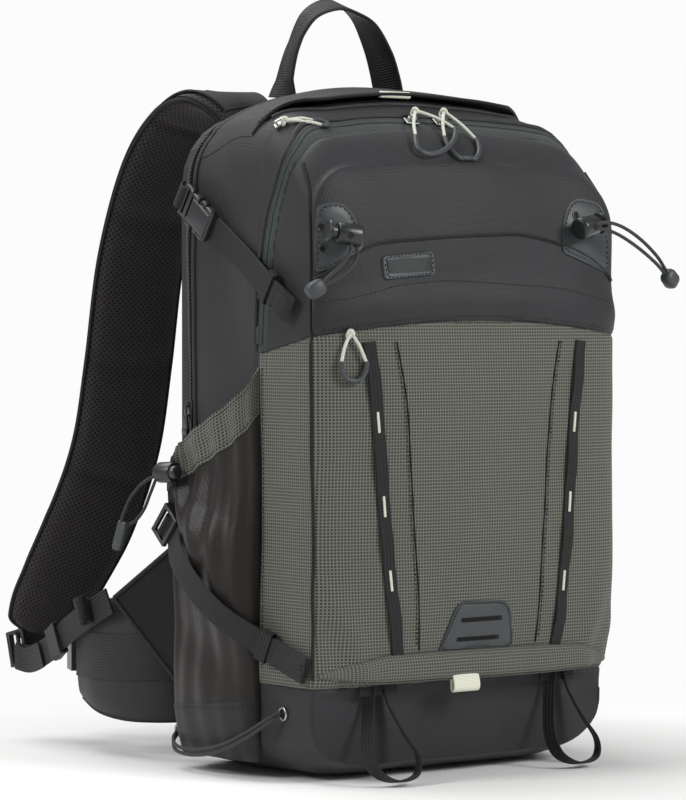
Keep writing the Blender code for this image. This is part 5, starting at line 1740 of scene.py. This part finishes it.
# ---------------------------------------------------------------- hip belt
# A foam wing each side in coated nylon, with a wide ribbed band across its middle, and a
# triangular nylon wing above it that takes the shoulder strap's lower webbing.
WING = ((-0.0900, 0.0760, 0.079), (-0.1130, 0.0830, 0.079), (-0.1340, 0.0980, 0.078),
        (-0.1460, 0.1240, 0.076), (-0.1490, 0.1550, 0.075), (-0.1430, 0.1860, 0.075))
band_web = webbing("ribbed_nylon_band", 0.0021, 0.0011, "19191b", "3a3a3d")
for label, side in SIDES:
    path = mirrored(WING, side, 12)
    path = [p for p in path if abs(p.x) > 0.1035 or p.y > 0.10]
    count = len(path)
    high = [1 - 0.30 * (i / (count - 1)) ** 3 for i in range(count)]
    wing = sweep(f"hip_pad_{label}", path, UP, pillow_shape(0.100, 0.0130), nylon,
                 f"hip_{label}", f"hip_wing_{label}", wide=high)
    ways = headings(path)
    outs = [w.cross(UP).normalized() for w in ways]
    outs = [o if o.x * side > 0 else -o for o in outs]
    lift = [p + o * 0.0066 + Vector((0, 0, 0.0010)) for p, o in zip(path, outs)]
    sweep(f"hip_band_{label}", lift, UP, flat_shape(0.0360, 0.0016), band_web,
          f"hip_{label}")
    for v in (-0.049, 0.049):
        rim = [p + Vector((0, 0, v * h)) for p, h in zip(path, high)]
        sweep(f"hip_binding_{label}_{'top' if v > 0 else 'foot'}", rim, outs,
              flat_shape(0.0050, 0.0030), piping_cloth, f"hip_{label}")
    corners = [Vector((side * x, y, z)) for x, y, z in (
        (0.1380, 0.066, 0.168), (0.1380, 0.066, 0.060), (0.1600, 0.121, 0.123))]
    bm = bmesh.new()
    rows = 10
    grid = []
    for i in range(rows + 1):
        start = corners[0].lerp(corners[2], i / rows)
        end = corners[1].lerp(corners[2], i / rows)
        line = []
        for j in range(rows + 1):
            p = start.lerp(end, j / rows)
            slack = 0.0022 * math.sin(math.pi * j / rows) * (1 - i / rows)
            line.append(bm.verts.new(p + Vector((side * slack, 0, 0))) if i < rows or j == 0
                        else grid[rows][0])
            if i == rows and j == 0:
                grid.append(line)
        if i < rows:
            grid.append(line)
    tip = grid[rows][0]
    for i in range(rows):
        for j in range(rows):
            if i == rows - 1:
                bm.faces.new((grid[i][j], grid[i][j + 1], tip))
            else:
                bm.faces.new((grid[i][j], grid[i][j + 1], grid[i + 1][j + 1], grid[i + 1][j]))
    finish_mesh(f"strap_wing_cloth_{label}", bm, nylon, "back_panel", f"strap_wing_{label}",
                thick=0.0020)
    for a, b in ((0, 2), (1, 2)):
        rim = [corners[a].lerp(corners[b], k / 12) for k in range(13)]
        sweep(f"strap_wing_edge_{label}_{a}", rim, Vector((side, 0, 0)),
              flat_shape(0.0034, 0.0036), piping_cloth, "back_panel")

# ---------------------------------------------------------------- back and inside
# The back panel opens on its zip. It is nylon with spacer-mesh pads over foam; behind it lie a
# stiff sheet and one aluminium stay, and a divider parts the two compartments.
aluminium, shader = new_material("brushed_aluminium", "a7a9ab", 0.38, Metallic=1.0)
brushed = add(aluminium, "ShaderNodeMapping", {"Vector": place_on(aluminium, "Object"),
                                               "Scale": (600.0, 600.0, 12.0)})
grain = add(aluminium, "ShaderNodeTexNoise", {"Vector": brushed.outputs[0], "Scale": 2.0})
feed(aluminium, shader, Normal=raised(aluminium, grain.outputs["Fac"], 0.0001, 0.4))
sheeting = moulded("black_polyethylene", "151516", 0.5, 400.0, 0.0001, 0.5)
mesh_cloth = woven("knitted_back_mesh", "171516", "3a3635", 0.0022, 0.0006, 0.75, 0.10)
for node, material in (("back_panel", nylon), ("lumbar_pad", mesh_cloth),
                       ("back_pad_left", mesh_cloth), ("back_pad_right", mesh_cloth),
                       ("frame_sheet", sheeting), ("frame_stay", aluminium),
                       ("compartment_divider", nylon), ("hip_buckle_socket", gloss),
                       ("hip_buckle_prong", gloss)):
    for slot in bpy.data.objects[node].material_slots:
        slot.material = material

# Belt webbing: 24 mm, from the wing's tip into each half of the buckle.
for label, side in SIDES:
    start = Vector((side * 0.1445, 0.1790, 0.075))
    ahead = Vector((-side * 0.45, 1.0, 0)).normalized()
    sweep(f"belt_web_{label}",
          smooth_path([start, start + ahead * 0.012, start + ahead * 0.024], 6), UP,
          flat_shape(0.0240, 0.0020), daisy_web, f"hip_{label}")
